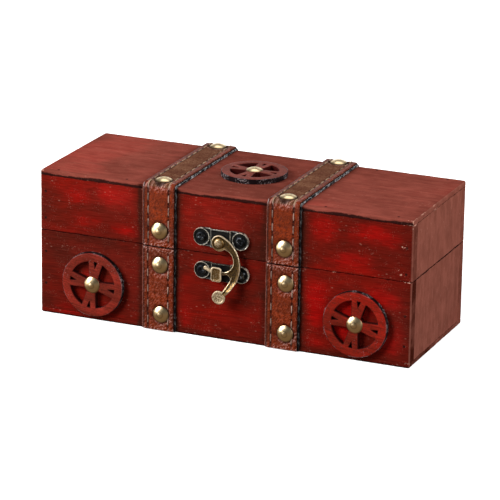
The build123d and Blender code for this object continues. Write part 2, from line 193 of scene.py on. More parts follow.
def add_piece(
    name: str,
    shape: Shape,
    material: Material,
    body: str,
    stands_for: Sequence[str] = (),
    sharp_angle: float = 48.0,
) -> None:
    """Makes a shape into an object of the scene.

    Args:
        name: The piece's name.
        shape: Its mesh and marks.
        material: Its finish.
        body: The CAD body that it rides on.
        stands_for: The CAD nodes that it replaces.
        sharp_angle: Edges that turn by more degrees stay crisp.
    """
    mesh = bpy.data.meshes.new(name)
    mesh.from_pydata(shape.points.tolist(), [], shape.faces)
    for mark, values in shape.marks.items():
        is_vector = values.ndim == 2
        layer = mesh.attributes.new(mark, "FLOAT_VECTOR" if is_vector else "FLOAT", "POINT")
        layer.data.foreach_set("vector" if is_vector else "value", values.astype(np.float32).ravel())
    work = bmesh.new()
    work.from_mesh(mesh)
    bmesh.ops.recalc_face_normals(work, faces=work.faces)
    work.to_mesh(mesh)
    work.free()
    mesh.shade_smooth()
    mesh.set_sharp_from_angle(angle=math.radians(sharp_angle))
    mesh.materials.append(material)
    piece = bpy.data.objects.new(name, mesh)
    bpy.context.scene.collection.objects.link(piece)
    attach(piece, body)
    if stands_for:
        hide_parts(*stands_for)
    log.info("%s: %d faces on %s", name, len(mesh.polygons), body)


def close_cuts(low: float, high: float) -> Array:
    """Cuts along a board, close together near both ends.

    Args:
        low, high: The board's two ends.

    Returns:
        The places of the cuts.
    """
    near = np.array([0.0, 0.12, 0.25, 0.45, 0.75, 1.1, 1.5, 2.2, 3.4]) * MM
    near = near[near < 0.42 * (high - low)]
    step = 3.0 * MM
    count = max(1, round((high - low - 2 * near[-1]) / step))
    middle = np.linspace(low + near[-1], high - near[-1], count + 1)
    return np.concatenate([low + near[:-1], middle, high - near[-2::-1]])


def box_shell(cuts: Sequence[Array]) -> tuple[Array, Faces]:
    """The surface of a box, divided at the given cuts.

    Args:
        cuts: The places of the cuts along x, y and z.

    Returns:
        The points and the faces.
    """
    index: dict[tuple[int, ...], int] = {}
    faces = []
    last = [len(places) - 1 for places in cuts]
    for axis in range(3):
        first, second = (axis + 1) % 3, (axis + 2) % 3
        for end in (0, last[axis]):
            for i in range(last[first]):
                for j in range(last[second]):
                    corners = []
                    for a, b in ((i, j), (i + 1, j), (i + 1, j + 1), (i, j + 1)):
                        spot = [0, 0, 0]
                        spot[axis], spot[first], spot[second] = end, a, b
                        corners.append(index.setdefault(tuple(spot), len(index)))
                    faces.append(tuple(corners))
    points = np.array([[cuts[axis][spot[axis]] for axis in range(3)] for spot in index])
    return points, faces


def ring_faces(rings: int, count: int, first: int = 0) -> Faces:
    """Joins rings of points, each to the next one.

    Args:
        rings: The number of rings.
        count: The number of points in each.
        first: The number of the first point.

    Returns:
        A face of four corners for every side of a ring but the last.
    """
    starts = range(first, first + (rings - 1) * count, count)
    sides = [(i, (i + 1) % count) for i in range(count)]
    return [(at + i, at + j, at + count + j, at + count + i) for at in starts for i, j in sides]


def lathe(profile: Sequence[Place], segments: int) -> Shape:
    """Turns a profile round the z axis.

    Args:
        profile: Radius and height pairs, from the middle of the top outwards and down.
        segments: The number of divisions round the axis.

    Returns:
        The turned shape, closed by a flat underside at the last height.
    """
    turns = np.linspace(0, 2 * math.pi, segments, endpoint=False)
    x, y, z = np.cos(turns), np.sin(turns), np.ones(segments)
    rings = [np.stack([radius * x, radius * y, height * z], 1) for radius, height in profile[1:]]
    points = np.concatenate([[[0.0, 0.0, profile[0][1]]], *rings])
    faces = [(0, 1 + i, 1 + (i + 1) % segments) for i in range(segments)]
    faces += ring_faces(len(rings), segments, 1)
    faces.append(tuple(range(len(points) - segments, len(points))))
    return Shape(points, faces)


def heading(offset: Sequence[float]) -> float:
    """The direction of an offset in degrees, from x towards y."""
    return math.degrees(math.atan2(offset[1], offset[0]))


def polar(radius: float, angle: float) -> Array:
    """The place at a distance from the origin, in a direction given in degrees."""
    return radius * np.array([math.cos(math.radians(angle)), math.sin(math.radians(angle))])


def arc(centre: Sequence[float], radius: float, start: float, end: float, step: float = 0.35 * MM) -> Loop:
    """Points along an arc.

    Args:
        centre: The middle of the circle.
        radius: Its radius.
        start, end: The first and last angles in degrees, where end below start runs clockwise.
        step: The greatest distance between two points.

    Returns:
        The points, without the last one.
    """
    count = max(3, math.ceil(abs(math.radians(end - start)) * radius / step))
    angles = np.radians(np.linspace(start, end, count, endpoint=False))
    return np.stack([centre[0] + radius * np.cos(angles), centre[1] + radius * np.sin(angles)], 1)


def arc_through(first: Sequence[float], middle: Sequence[float], last: Sequence[float]) -> Loop:
    """Points along the arc through three places.

    Args:
        first, middle, last: The places in order.

    Returns:
        The points, without the last one.
    """
    a, b, c = (np.array(place, float) for place in (first, middle, last))
    rows = 2 * np.array([b - a, c - a])
    centre = np.linalg.solve(rows, np.array([b @ b - a @ a, c @ c - a @ a]))
    radius = np.linalg.norm(a - centre)
    angles = [heading(place - centre) for place in (a, b, c)]
    ahead = (angles[2] - angles[0]) % 360
    turn = ahead if (angles[1] - angles[0]) % 360 < ahead else ahead - 360
    return arc(centre, radius, angles[0], angles[0] + turn)


def segments_of(loops: Sequence[Loop]) -> tuple[Array, Array]:
    """The two ends of every side of closed loops."""
    return np.concatenate(loops), np.concatenate([np.roll(loop, -1, axis=0) for loop in loops])


def is_inside(points: Array, loops: Sequence[Loop]) -> Array:
    """Tells which points lie inside an outline and outside its holes.

    Args:
        points: The points, one per row.
        loops: The outline and the holes.

    Returns:
        True or false for each point.
    """
    a, b = segments_of(loops)
    x, y = points[:, :1], points[:, 1:2]
    spans = (a[:, 1] > y) != (b[:, 1] > y)
    slope = (b[:, 0] - a[:, 0]) / np.where(a[:, 1] == b[:, 1], 1.0, b[:, 1] - a[:, 1])
    return (spans & (x < a[:, 0] + (y - a[:, 1]) * slope)).sum(1) % 2 == 1


def edge_distance(points: Array, loops: Sequence[Loop]) -> Array:
    """The distance of each point from the nearest edge of closed loops.

    Args:
        points: The points, one per row.
        loops: The outline and the holes.

    Returns:
        One distance per point.
    """
    a, b = segments_of(loops)
    along = b - a
    square = np.maximum((along**2).sum(1), 1e-18)
    offset = points[:, None, :] - a[None]
    share = np.clip((offset * along).sum(2) / square, 0.0, 1.0)
    return np.sqrt(((offset - share[:, :, None] * along) ** 2).sum(2)).min(1)


def relief(loops: Sequence[Loop], front: HeightField, back: HeightField | float, spacing: float) -> Shape:
    """Builds a plate of any outline with a shaped front.

    Args:
        loops: The outline first, then the holes, lying in the xy plane.
        front: Gives the height of the front from the points and their distances from the edge.
        back: The same for the back, or its height where it is flat.
        spacing: The distance between points inside the outline.

    Returns:
        The closed plate, with the mark "edge" for the distance from the edge.
    """
    outline = loops[0]
    grids = [np.arange(low, high, spacing) for low, high in zip(outline.min(0), outline.max(0))]
    grid = np.stack(np.meshgrid(*grids), -1).reshape(-1, 2)
    grid = grid[is_inside(grid, loops)]
    grid = grid[edge_distance(grid, loops) > 0.45 * spacing]
    flat = np.concatenate([*loops, grid])
    sides = []
    start = 0
    for loop in loops:
        count = len(loop)
        sides.extend((start + i, start + (i + 1) % count) for i in range(count))
        start += count
    made = delaunay_2d_cdt([Vector(point / MM) for point in flat], sides, [], 0, 1e-6)
    plane = np.array([tuple(point) for point in made[0]]) * MM
    triangles = np.array(made[2])
    triangles = triangles[is_inside(plane[triangles].mean(1), loops)]
    where = {source: place for place, sources in enumerate(made[3]) for source in sources}
    distance = edge_distance(plane, loops)
    count = len(plane)
    fronts = np.column_stack([plane, front(plane, distance)])
    backs = np.column_stack([plane, back(plane, distance) if callable(back) else np.full(count, back)])
    faces = [tuple(map(int, corners)) for corners in triangles]
    faces += [tuple(int(corner) + count for corner in corners[::-1]) for corners in triangles]
    faces += [(where[i], where[j], where[j] + count, where[i] + count) for i, j in sides]
    return Shape(np.concatenate([fronts, backs]), faces, {"edge": np.concatenate([distance, distance * 0])})


Feed = float | Sequence[float] | Socket


class Graph:
    """A short way to place and join shader nodes in one tree."""

    def __init__(self, tree: bpy.types.NodeTree) -> None:
        """Takes the tree that the nodes go into."""
        self.tree = tree

    def feed(self, socket: Socket, value: Feed) -> None:
        """Joins a socket to another, or sets its constant.

        Args:
            socket: The input.
            value: An output, a number, a vector or a colour.
        """
        if isinstance(value, Socket):
            self.tree.links.new(value, socket)
        elif socket.type == "RGBA" and len(value) == 3:
            socket.default_value = (*value, 1.0)
        else:
            socket.default_value = value

    def node(self, kind: str, feeds: dict[str | int, Feed], **settings: object) -> bpy.types.Node:
        """Places a node.

        Args:
            kind: Its type, without the word ShaderNode.
            feeds: What goes into its sockets.
            settings: Its options.

        Returns:
            The node.
        """
        made = self.tree.nodes.new("ShaderNode" + kind)
        for name, value in settings.items():
            setattr(made, name, value)
        for name, value in feeds.items():
            self.feed(made.inputs[name], value)
        return made

    def math(self, operation: str, *values: Feed) -> Socket:
        """The result of a sum, clamped to 0 and 1 where its name ends in a star."""
        settings = {"operation": operation.rstrip("*"), "use_clamp": operation.endswith("*")}
        return self.node("Math", dict(enumerate(values)), **settings).outputs[0]

    def times(self, first: Feed, second: Feed) -> Socket:
        """The product of two values."""
        return self.math("MULTIPLY", first, second)

    def plus(self, first: Feed, second: Feed) -> Socket:
        """The sum of two values."""
        return self.math("ADD", first, second)

    def minus(self, first: Feed, second: Feed) -> Socket:
        """The first value less the second."""
        return self.math("SUBTRACT", first, second)

    def split(self, vector: Feed) -> Outputs:
        """The X, Y and Z of a vector."""
        return self.node("SeparateXYZ", {0: vector}).outputs

    def mix(self, share: Feed, first: Feed, second: Feed, blend: str = "MIX") -> Socket:
        """Blends two colours, by share from the first to the second."""
        feeds = {0: share, 6: first, 7: second}
        return self.node("Mix", feeds, data_type="RGBA", blend_type=blend).outputs[2]

    def tint(self, colour: Feed, over: Feed, share: Feed, level: Feed) -> Socket:
        """Lays another colour over a colour, by a share times a level."""
        return self.mix(self.times(share, level), colour, over)

    def stretch(self, vector: Feed, scale: Sequence[float]) -> Socket:
        """Multiplies a vector part by part."""
        return self.node("VectorMath", {0: vector, 1: scale}, operation="MULTIPLY").outputs[0]

    def noise(self, vector: Feed, scale: Feed, detail: float = 3.0, rough: float = 0.55) -> Socket:
        """Noise from 0 to 1."""
        feeds = {"Vector": vector, "Scale": scale, "Detail": detail, "Roughness": rough}
        return self.node("TexNoise", feeds).outputs["Fac"]

    def cells(self, vector: Feed, scale: Feed) -> Socket:
        """The distance from the nearest of scattered points."""
        return self.node("TexVoronoi", {"Vector": vector, "Scale": scale}).outputs["Distance"]

    def ramp(self, value: Feed, low: Feed, high: Feed, to_low: Feed = 0.0, to_high: Feed = 1.0) -> Socket:
        """Maps a value smoothly from low and high to two other values."""
        feeds = {"Value": value, "From Min": low, "From Max": high, "To Min": to_low, "To Max": to_high}
        return self.node("MapRange", feeds, interpolation_type="SMOOTHSTEP").outputs["Result"]

    def shade(self, colour: Feed, level: Feed) -> Socket:
        """Makes a colour darker or lighter by a level."""
        grey = self.node("CombineColor", {0: level, 1: level, 2: level}).outputs[0]
        return self.mix(1.0, colour, grey, "MULTIPLY")

    def mark(self, name: str, output: str = "Fac") -> Socket:
        """Reads values painted on the points."""
        return self.node("Attribute", {}, attribute_name=name).outputs[output]

    def bump(self, height: Feed, strength: float, distance: float) -> Socket:
        """Turns a height into a normal."""
        feeds = {"Height": height, "Strength": strength, "Distance": distance}
        return self.node("Bump", feeds).outputs["Normal"]


class Effect:
    """A node group that several finishes share, built once."""

    def __init__(self, name: str, inputs: Sequence[str], outputs: Sequence[str]) -> None:
        """Makes the group, whose first input is the place on the surface.

        Args:
            name: The group's name.
            inputs: The names of the further numbers that it takes.
            outputs: The names of the numbers that it puts out.
        """
        self.tree = bpy.data.node_groups.new(name, "ShaderNodeTree")
        self.tree.interface.new_socket(name="Place", in_out="INPUT", socket_type="NodeSocketVector")
        for way, labels in (("INPUT", inputs), ("OUTPUT", outputs)):
            for label in labels:
                self.tree.interface.new_socket(name=label, in_out=way, socket_type="NodeSocketFloat")
        self.given = self.tree.nodes.new("NodeGroupInput").outputs
        self.put_out = self.tree.nodes.new("NodeGroupOutput").inputs
        self.graph = Graph(self.tree)

    def finish(self, *values: Socket) -> "Effect":
        """Joins the group's outputs.

        Args:
            values: What they give, in their order.

        Returns:
            The finished group.
        """
        for socket, value in zip(self.put_out, values):
            self.graph.feed(socket, value)
        return self

    def use(self, graph: Graph, *feeds: Feed) -> Outputs:
        """Places the group in a material.

        Args:
            graph: The material's graph.
            feeds: What goes into its sockets, in their order.

        Returns:
            The group's outputs.
        """
        made = graph.node("Group", {}, node_tree=self.tree)
        for socket, feed in zip(made.inputs, feeds):
            graph.feed(socket, feed)
        return made.outputs


class Effects:
    """The shared effects: grain, patches, flecks, edge wear and tarnish."""

    def __init__(self) -> None:
        """Builds every group."""
        self.grain = self.board_grain()
        self.patches = self.stain_patches()
        self.flecks = self.pale_flecks()
        self.arris = self.arris_wear()
        self.tarnish = self.metal_tarnish()

    @staticmethod
    def board_grain() -> Effect:
        """Builds the streaks and fine fibres that run along a board's x.

        Returns:
            The group.
        """
        effect = Effect("board_grain", (), ("Streaks", "Fibres"))
        graph, given = effect.graph, effect.given
        bend = graph.noise(given["Place"], 14.0, 2.0)
        shift = graph.node("CombineXYZ", {"Y": graph.times(bend, 0.012)}).outputs[0]
        bent = graph.node("VectorMath", {0: given["Place"], 1: shift}, operation="ADD").outputs[0]
        streaks = graph.noise(graph.stretch(bent, (28.0, 300.0, 300.0)), 1.0, 5.0, 0.62)
        fibres = graph.noise(graph.stretch(bent, (85.0, 2100.0, 2100.0)), 1.0, 3.0, 0.6)
        return effect.finish(graph.ramp(streaks, 0.34, 0.66), fibres)

    @staticmethod
    def stain_patches() -> Effect:
        """Builds soft patches of heavier and lighter stain.

        Returns:
            The group.
        """
        effect = Effect("stain_patches", ("Scale", "Low", "High"), ("Mask",))
        graph, given = effect.graph, effect.given
        longer = graph.stretch(given["Place"], (0.55, 1.0, 1.0))
        cloud = graph.noise(longer, given["Scale"], 5.0, 0.58)
        return effect.finish(graph.ramp(cloud, given["Low"], given["High"]))

    @staticmethod
    def pale_flecks() -> Effect:
        """Builds scattered specks of dust and tiny chips.

        Returns:
            The group.
        """
        effect = Effect("pale_flecks", ("Scale", "Size", "Spread"), ("Mask",))
        graph, given = effect.graph, effect.given
        dots = graph.ramp(graph.cells(given["Place"], given["Scale"]), given["Size"], 0.0)
        where = graph.noise(given["Place"], graph.times(given["Scale"], 0.21), 3.0)
        near = graph.ramp(where, given["Spread"], graph.plus(given["Spread"], 0.12))
        return effect.finish(graph.times(dots, near))

    @staticmethod
    def arris_wear() -> Effect:
        """Builds burnt and chipped edges, from the distance to the nearest arris.

        Returns:
            The group.
        """
        effect = Effect("arris_wear", ("Distance", "Chippy"), ("Burnt", "Chipped"))
        graph, given = effect.graph, effect.given
        uneven = graph.noise(given["Place"], 240.0, 4.0, 0.65)
        reach = graph.ramp(uneven, 0.25, 0.75, 0.28 * MM, 1.19 * MM)
        burnt = graph.ramp(graph.math("DIVIDE", given["Distance"], reach), 1.0, 0.3)
        crumbs = graph.noise(given["Place"], 620.0, 4.0, 0.7)
        limit = graph.minus(0.86, graph.times(given["Chippy"], 0.38))
        chipped = graph.ramp(crumbs, limit, graph.plus(limit, 0.04))
        return effect.finish(burnt, chipped)

    @staticmethod
    def metal_tarnish() -> Effect:
        """Builds dull stains and small pits on metal.

        Returns:
            The group.
        """
        effect = Effect("metal_tarnish", ("Amount", "Pit Size"), ("Stain", "Pits"))
        graph, given = effect.graph, effect.given
        cloud = graph.noise(given["Place"], 420.0, 5.0, 0.68)
        edge = graph.minus(0.85, graph.times(given["Amount"], 0.6))
        stain = graph.ramp(cloud, graph.minus(edge, 0.16), edge)
        dots = graph.ramp(graph.cells(given["Place"], 1150.0), given["Pit Size"], 0.0)
        where = graph.ramp(graph.noise(given["Place"], 500.0, 2.0), 0.5, 0.62)
        return effect.finish(stain, graph.times(dots, where))


def new_material(name: str) -> tuple[Material, Graph, bpy.types.Node]:
    """Starts a material.

    Args:
        name: Its name.

    Returns:
        The material, its graph and its Principled BSDF.
    """
    material = bpy.data.materials.new(name)
    material.use_nodes = True
    return material, Graph(material.node_tree), material.node_tree.nodes["Principled BSDF"]


def dress(graph: Graph, shader: bpy.types.Node, feeds: dict[str, Feed]) -> None:
    """Sets or joins a shader's sockets."""
    for name, value in feeds.items():
        graph.feed(shader.inputs[name], value)


@dataclass(frozen=True)
class StainedWood:
    """Red stain and wax on boards, burnt dark along the edges."""

    name: str = "red_stained_boards"
    red: Colour = srgb(138, 23, 14)
    brown: Colour = srgb(68, 27, 19)
    bright: Colour = srgb(188, 12, 12)
    thin: Colour = srgb(156, 96, 82)
    burnt: Colour = srgb(28, 14, 14)
    chip: Colour = srgb(204, 150, 132)

    def material(self, effects: Effects) -> Material:
        """Builds the finish.

        Args:
            effects: The shared node groups.

        Returns:
            The material. It reads the marks grain_place, burn_gap (the distance from a burnt edge), chips
            and stain (the shares of dark stain with painted shade, clear red, and thin stain with painted
            sheen).
        """
        material, graph, shader = new_material(self.name)
        place = graph.mark("grain_place", "Vector")
        mirrored = graph.stretch(place, (-1.0, 1.0, 1.0))
        stain = graph.split(graph.mark("stain", "Vector"))
        grain = effects.grain.use(graph, place)
        heavy = effects.patches.use(graph, place, 26.0, 0.4, 0.64)["Mask"]
        warm = effects.patches.use(graph, mirrored, 38.0, 0.34, 0.66)["Mask"]
        burn_gap, chips = graph.mark("burn_gap"), graph.mark("chips")
        arris = effects.arris.use(graph, place, burn_gap, chips)
        mottle = effects.patches.use(graph, mirrored, 190.0, 0.4, 0.62)["Mask"]
        longer = graph.stretch(place, (0.45, 1.0, 1.0))
        flecks = effects.flecks.use(graph, longer, 620.0, 0.27, 0.52)["Mask"]
        dust = effects.flecks.use(graph, mirrored, 1100.0, 0.4, 0.48)["Mask"]
        uneven = graph.plus(graph.times(warm, 0.35), graph.times(mottle, 0.25))
        clear = graph.ramp(graph.plus(stain["Y"], uneven), 0.3, 1.45)
        colour = graph.mix(clear, self.red, self.bright)
        # Thin stain, which on the lid's top and the ends also paints their pale sheen
        colour = graph.mix(stain["Z"], colour, self.thin)
        covered = graph.ramp(clear, 0.2, 0.9, 0.6, 0.1)
        kept = graph.math("SUBTRACT*", covered, graph.times(stain["Z"], 0.7))
        colour = graph.tint(colour, self.brown, heavy, kept)
        streaks = graph.times(grain["Streaks"], graph.ramp(stain["Z"], 0.1, 1.0, 0.3, 0.14))
        colour = graph.mix(streaks, colour, self.brown)
        colour = graph.tint(colour, self.brown, mottle, 0.22)
        # Brown by the first share of stain: dark stain, with painted shade beside the straps, hook and wheels
        ragged = graph.times(stain["X"], graph.ramp(warm, 0.0, 1.0, 0.95, 0.45))
        colour = graph.mix(ragged, colour, self.brown)
        fibre_low = graph.ramp(stain["Z"], 0.1, 1.0, 0.75, 0.9)
        fibre_high = graph.ramp(stain["Z"], 0.1, 1.0, 1.22, 1.05)
        colour = graph.shade(colour, graph.ramp(grain["Fibres"], 0.3, 0.7, fibre_low, fibre_high))
        colour = graph.tint(colour, self.burnt, arris["Burnt"], 0.9)
        colour = graph.tint(colour, self.chip, dust, 0.14)
        colour = graph.tint(colour, self.chip, flecks, 0.32)
        colour = graph.mix(arris["Chipped"], colour, self.chip)
        rough = graph.plus(graph.times(grain["Fibres"], 0.16), 0.34)
        dull = graph.times(graph.math("MAXIMUM", arris["Burnt"], arris["Chipped"]), 0.3)
        ridges = graph.plus(grain["Fibres"], graph.times(grain["Streaks"], 0.4))
        height = graph.minus(ridges, graph.times(arris["Chipped"], 3.0))
        dress(graph, shader, {
            "Base Color": colour,
            "Roughness": graph.math("ADD*", rough, dull),
            "Specular IOR Level": 0.0,
            "Normal": graph.bump(height, 0.3, 0.1 * MM),
        })
        return material


@dataclass(frozen=True)
class WheelWood:
    """The wheels' thin red board, with cut walls burnt black."""

    name: str = "wheel_board"
    red: Colour = srgb(166, 35, 23)
    brown: Colour = srgb(80, 34, 24)
    thin: Colour = srgb(130, 62, 50)
    inside: Colour = srgb(62, 18, 16)
    burnt: Colour = srgb(26, 17, 19)
    ash: Colour = srgb(168, 156, 158)

    def material(self, effects: Effects) -> Material:
        """Builds the finish.

        Args:
            effects: The shared node groups.

        Returns:
            The material, which reads the marks grain_place, from_cut, from_middle and faded.
        """
        material, graph, shader = new_material(self.name)
        place = graph.mark("grain_place", "Vector")
        from_cut = graph.mark("from_cut")
        from_middle = graph.mark("from_middle")
        grain = effects.grain.use(graph, place)
        heavy = effects.patches.use(graph, place, 75.0, 0.4, 0.64)["Mask"]
        flecks = effects.flecks.use(graph, place, 800.0, 0.3, 0.5)["Mask"]
        crumbs = graph.noise(place, 800.0, 4.0, 0.75)
        middle = graph.ramp(from_middle, 12 * MM, 15 * MM, 0.2, 0.0)
        colour = graph.mix(middle, self.red, self.brown)
        # Paler, duller colour by the mark faded; on the lid wheel it is the painted sheen of the top
        colour = graph.mix(graph.mark("faded"), colour, self.thin)
        colour = graph.tint(colour, self.brown, heavy, 0.45)
        colour = graph.tint(colour, self.brown, grain["Streaks"], 0.35)
        colour = graph.mix(graph.ramp(crumbs, 0.5, 0.62, 0.0, 0.55), colour, self.brown)
        colour = graph.tint(colour, self.ash, flecks, 0.4)
        colour = graph.shade(colour, graph.ramp(grain["Fibres"], 0.3, 0.7, 0.7, 1.3))
        patchy = graph.ramp(graph.noise(place, 110.0, 2.0), 0.42, 0.58)
        scuffed = graph.times(graph.ramp(crumbs, 0.5, 0.62, 0.0, 0.85), patchy)
        outer = graph.ramp(from_middle, 16.5 * MM, 18.5 * MM)
        outside = graph.mix(scuffed, self.burnt, self.ash)
        cut = graph.mix(outer, self.inside, outside)
        ragged = graph.plus(from_cut, graph.times(graph.minus(crumbs, 0.5), 0.5 * MM))
        rubbed = graph.times(graph.ramp(ragged, 0.7 * MM, 0.5 * MM, 0.0, 0.15), outer)
        colour = graph.tint(colour, self.ash, rubbed, patchy)
        colour = graph.mix(graph.ramp(ragged, 0.32 * MM, 0.12 * MM), colour, cut)
        dress(graph, shader, {
            "Base Color": colour,
            "Roughness": graph.plus(graph.times(grain["Fibres"], 0.2), 0.36),
            "Specular IOR Level": 0.04,
            "Normal": graph.bump(graph.plus(grain["Fibres"], crumbs), 0.5, 0.2 * MM),
        })
        return material


@dataclass(frozen=True)
class StrapLeather:
    """Glossy orange-brown leather with darker edges and scuffed ends."""

    name: str = "strap_leather_face"
    tan: Colour = srgb(158, 60, 26)
    brown: Colour = srgb(74, 30, 17)
    sheened_olive: Colour = srgb(138, 96, 71)
    edge: Colour = srgb(24, 15, 14)
    scuff_and_glint: Colour = srgb(212, 166, 156)

    def material(self, effects: Effects) -> Material:
        """Builds the finish.

        Args:
            effects: The shared node groups.

        Returns:
            The material, which reads the marks strap_place, rubbed (scuffs and painted glints), pressed
            (painted shade) and faded (painted sheen on the top).
        """
        material, graph, shader = new_material(self.name)
        place = graph.mark("strap_place", "Vector")
        rubbed = graph.mark("rubbed")
        pressed = graph.mark("pressed")
        faded = graph.mark("faded")
        parts = graph.split(place)
        across = graph.math("ABSOLUTE", parts["X"])
        cloud = effects.patches.use(graph, place, 110.0, 0.36, 0.66)["Mask"]
        pebbles = graph.cells(place, 1350.0)
        rising = graph.minus(parts["Y"], parts["X"])
        falling = graph.plus(parts["Y"], parts["X"])
        slanted = graph.node("CombineXYZ", {"X": rising, "Y": graph.times(falling, 0.45)}).outputs[0]
        creases = graph.noise(slanted, 700.0, 6.0, 0.74)
        # On the top the leather is painted olive and grey: a painted sheen
        colour = graph.mix(faded, self.tan, self.sheened_olive)
        colour = graph.tint(colour, self.brown, cloud, 0.6)
        margin = graph.ramp(parts["X"], -1.0 * MM, 1.0 * MM, 0.85, 0.2)
        colour = graph.tint(colour, self.brown, graph.ramp(across, 7.4 * MM, 8.7 * MM), margin)
        colour = graph.mix(graph.ramp(creases, 0.46, 0.62, 0.0, 0.8), colour, self.brown)
        colour = graph.mix(graph.ramp(pebbles, 0.35, 0.6, 0.0, 0.4), colour, self.brown)
        # Scuffs, and painted glints at the bend, laid on in the scuff colour
        worn = graph.times(rubbed, graph.ramp(creases, 0.48, 0.43))
        colour = graph.tint(colour, self.scuff_and_glint, worn, 0.8)
        # Painted shade in the needle holes, along the rows and under the tacks' rims
        colour = graph.tint(colour, self.edge, pressed, 0.9)
        cut_wall = graph.ramp(parts["Z"], 1.5 * MM, 1.3 * MM)
        colour = graph.mix(cut_wall, colour, self.edge)
        rough = graph.ramp(graph.plus(worn, cloud), 0.0, 1.4, 0.26, 0.46)
        height = graph.minus(creases, graph.times(pebbles, 0.9))
        dress(graph, shader, {
            "Base Color": colour,
            "Roughness": graph.math("MAXIMUM", rough, faded),
            "Specular IOR Level": 0.08,
            "Normal": graph.bump(height, 0.9, 0.25 * MM),
        })
        return material


@dataclass(frozen=True)
class BlackBacking:
    """The black strip under each strap, with a ragged, grey-specked edge."""

    name: str = "strap_backing_strip"
    black: Colour = srgb(20, 19, 22)
    speck: Colour = srgb(208, 206, 208)
    rim: Colour = srgb(150, 84, 68)

    def material(self, effects: Effects) -> Material:
        """Builds the finish.

        Args:
            effects: The shared node groups.

        Returns:
            The material, which reads the marks strap_place and frayed.
        """
        material, graph, shader = new_material(self.name)
        place = graph.mark("strap_place", "Vector")
        flecks = effects.flecks.use(graph, place, 480.0, 0.55, 0.42)["Mask"]
        fluff = graph.noise(graph.stretch(place, (1.0, 0.35, 1.0)), 1000.0, 4.0, 0.75)
        frayed = graph.mark("frayed")
        colour = graph.tint(self.black, self.speck, flecks, graph.ramp(frayed, 0.0, 1.0, 0.05, 1.0))
        light = graph.ramp(fluff, 0.5, 0.62)
        colour = graph.tint(colour, self.speck, light, graph.ramp(frayed, 0.0, 1.0, 0.05, 0.8))
        at_left = graph.ramp(graph.split(place)["X"], -9.65 * MM, -9.95 * MM, 0.0, 0.85)
        dress(graph, shader, {
            "Base Color": graph.mix(at_left, colour, self.rim),
            "Roughness": graph.ramp(fluff, 0.3, 0.7, 0.5, 0.85),
            "Specular IOR Level": 0.12,
            "Normal": graph.bump(fluff, 0.8, 0.3 * MM),
        })
        return material


@dataclass(frozen=True)
class Thread:
    """Waxed stitching thread, laid in two plies."""

    name: str = "stitching_thread"
    cream: Colour = srgb(168, 138, 108)
    dull: Colour = srgb(184, 148, 132)
    dark: Colour = srgb(70, 44, 34)

    def material(self, effects: Effects) -> Material:
        """Builds the finish.

        Args:
            effects: The shared node groups.

        Returns:
            The material, which reads the marks strap_place and faded.
        """
        material, graph, shader = new_material(self.name)
        place = graph.mark("strap_place", "Vector")
        slant = graph.stretch(place, (900.0, 900.0, 900.0))
        waves = {"Vector": slant, "Scale": 0.9, "Distortion": 1.5}
        plies = graph.node("TexWave", waves, bands_direction="DIAGONAL")
        dirt = effects.patches.use(graph, place, 240.0, 0.45, 0.7)["Mask"]
        left = graph.split(place)["X"]
        front = graph.mix(graph.ramp(left, 1.0 * MM, -1.0 * MM, 0.0, 0.35), self.dull, self.dark)
        colour = graph.mix(graph.mark("faded"), front, self.cream)
        dress(graph, shader, {
            "Base Color": graph.tint(colour, self.dark, dirt, 0.75),
            "Roughness": graph.ramp(dirt, 0.0, 1.0, 0.55, 0.75),
            "Normal": graph.bump(plies.outputs["Fac"], 0.5, 0.08 * MM),
        })
        return material


@dataclass(frozen=True)
class OldMetal:
    """Brass or bronze that is bright where hands and cloth rub it, and dark in its hollows."""

    name: str
    bright: Colour
    worn: Colour
    dark: Colour
    amount: float
    pit_size: float
    roughness: float
    metallic: float = 1.0
    bump: float = 0.2
    specular: float = 0.5
    reads_height: bool = False
    reads_grime: bool = False

    def material(self, effects: Effects) -> Material:
        """Builds the finish.

        Args:
            effects: The shared node groups.

        Returns:
            The material, which reads the mark raised where reads_height is set, and grime (painted dark
            reflections) where reads_grime is.
        """
        material, graph, shader = new_material(self.name)
        place = graph.node("TexCoord", {}).outputs["Object"]
        tarnish = effects.tarnish.use(graph, place, self.amount, self.pit_size)
        ragged = graph.noise(place, 1300.0, 4.0, 0.65)
        colour = graph.mix(tarnish["Stain"], self.bright, self.worn)
        rough = graph.ramp(tarnish["Stain"], 0.0, 1.0, self.roughness, self.roughness + 0.2)
        metal = self.metallic
        if self.reads_height:
            raised = graph.mark("raised")
            edge = graph.plus(raised, graph.times(graph.minus(ragged, 0.5), 0.9))
            handled = graph.ramp(edge, 0.15, 0.4)
            rubbed = graph.ramp(edge, 0.6, 0.9)
            colour = graph.mix(rubbed, graph.mix(handled, self.dark, self.worn), colour)
            rough = graph.plus(rough, graph.ramp(rubbed, 1.0, 0.0, 0.0, 0.12))
            # Rubbed places are bright with wear, and lose some metal so that their colour shows as a painted
            # highlight
            metal = graph.minus(graph.ramp(handled, 0.0, 1.0, 0.5, 1.0), graph.times(rubbed, 0.6))
        if self.reads_grime:
            # Painted shade: dark rings that stand in for dark reflections on the tacks
            colour = graph.mix(graph.mark("grime"), colour, self.dark)
        colour = graph.tint(colour, self.dark, tarnish["Pits"], 0.7)
        height = graph.minus(graph.times(ragged, 0.3), tarnish["Pits"])
        dress(graph, shader, {
            "Base Color": colour,
            "Roughness": rough,
            "Metallic": metal,
            "Specular IOR Level": self.specular,
            "Normal": graph.bump(height, self.bump, 0.06 * MM),
        })
        return material


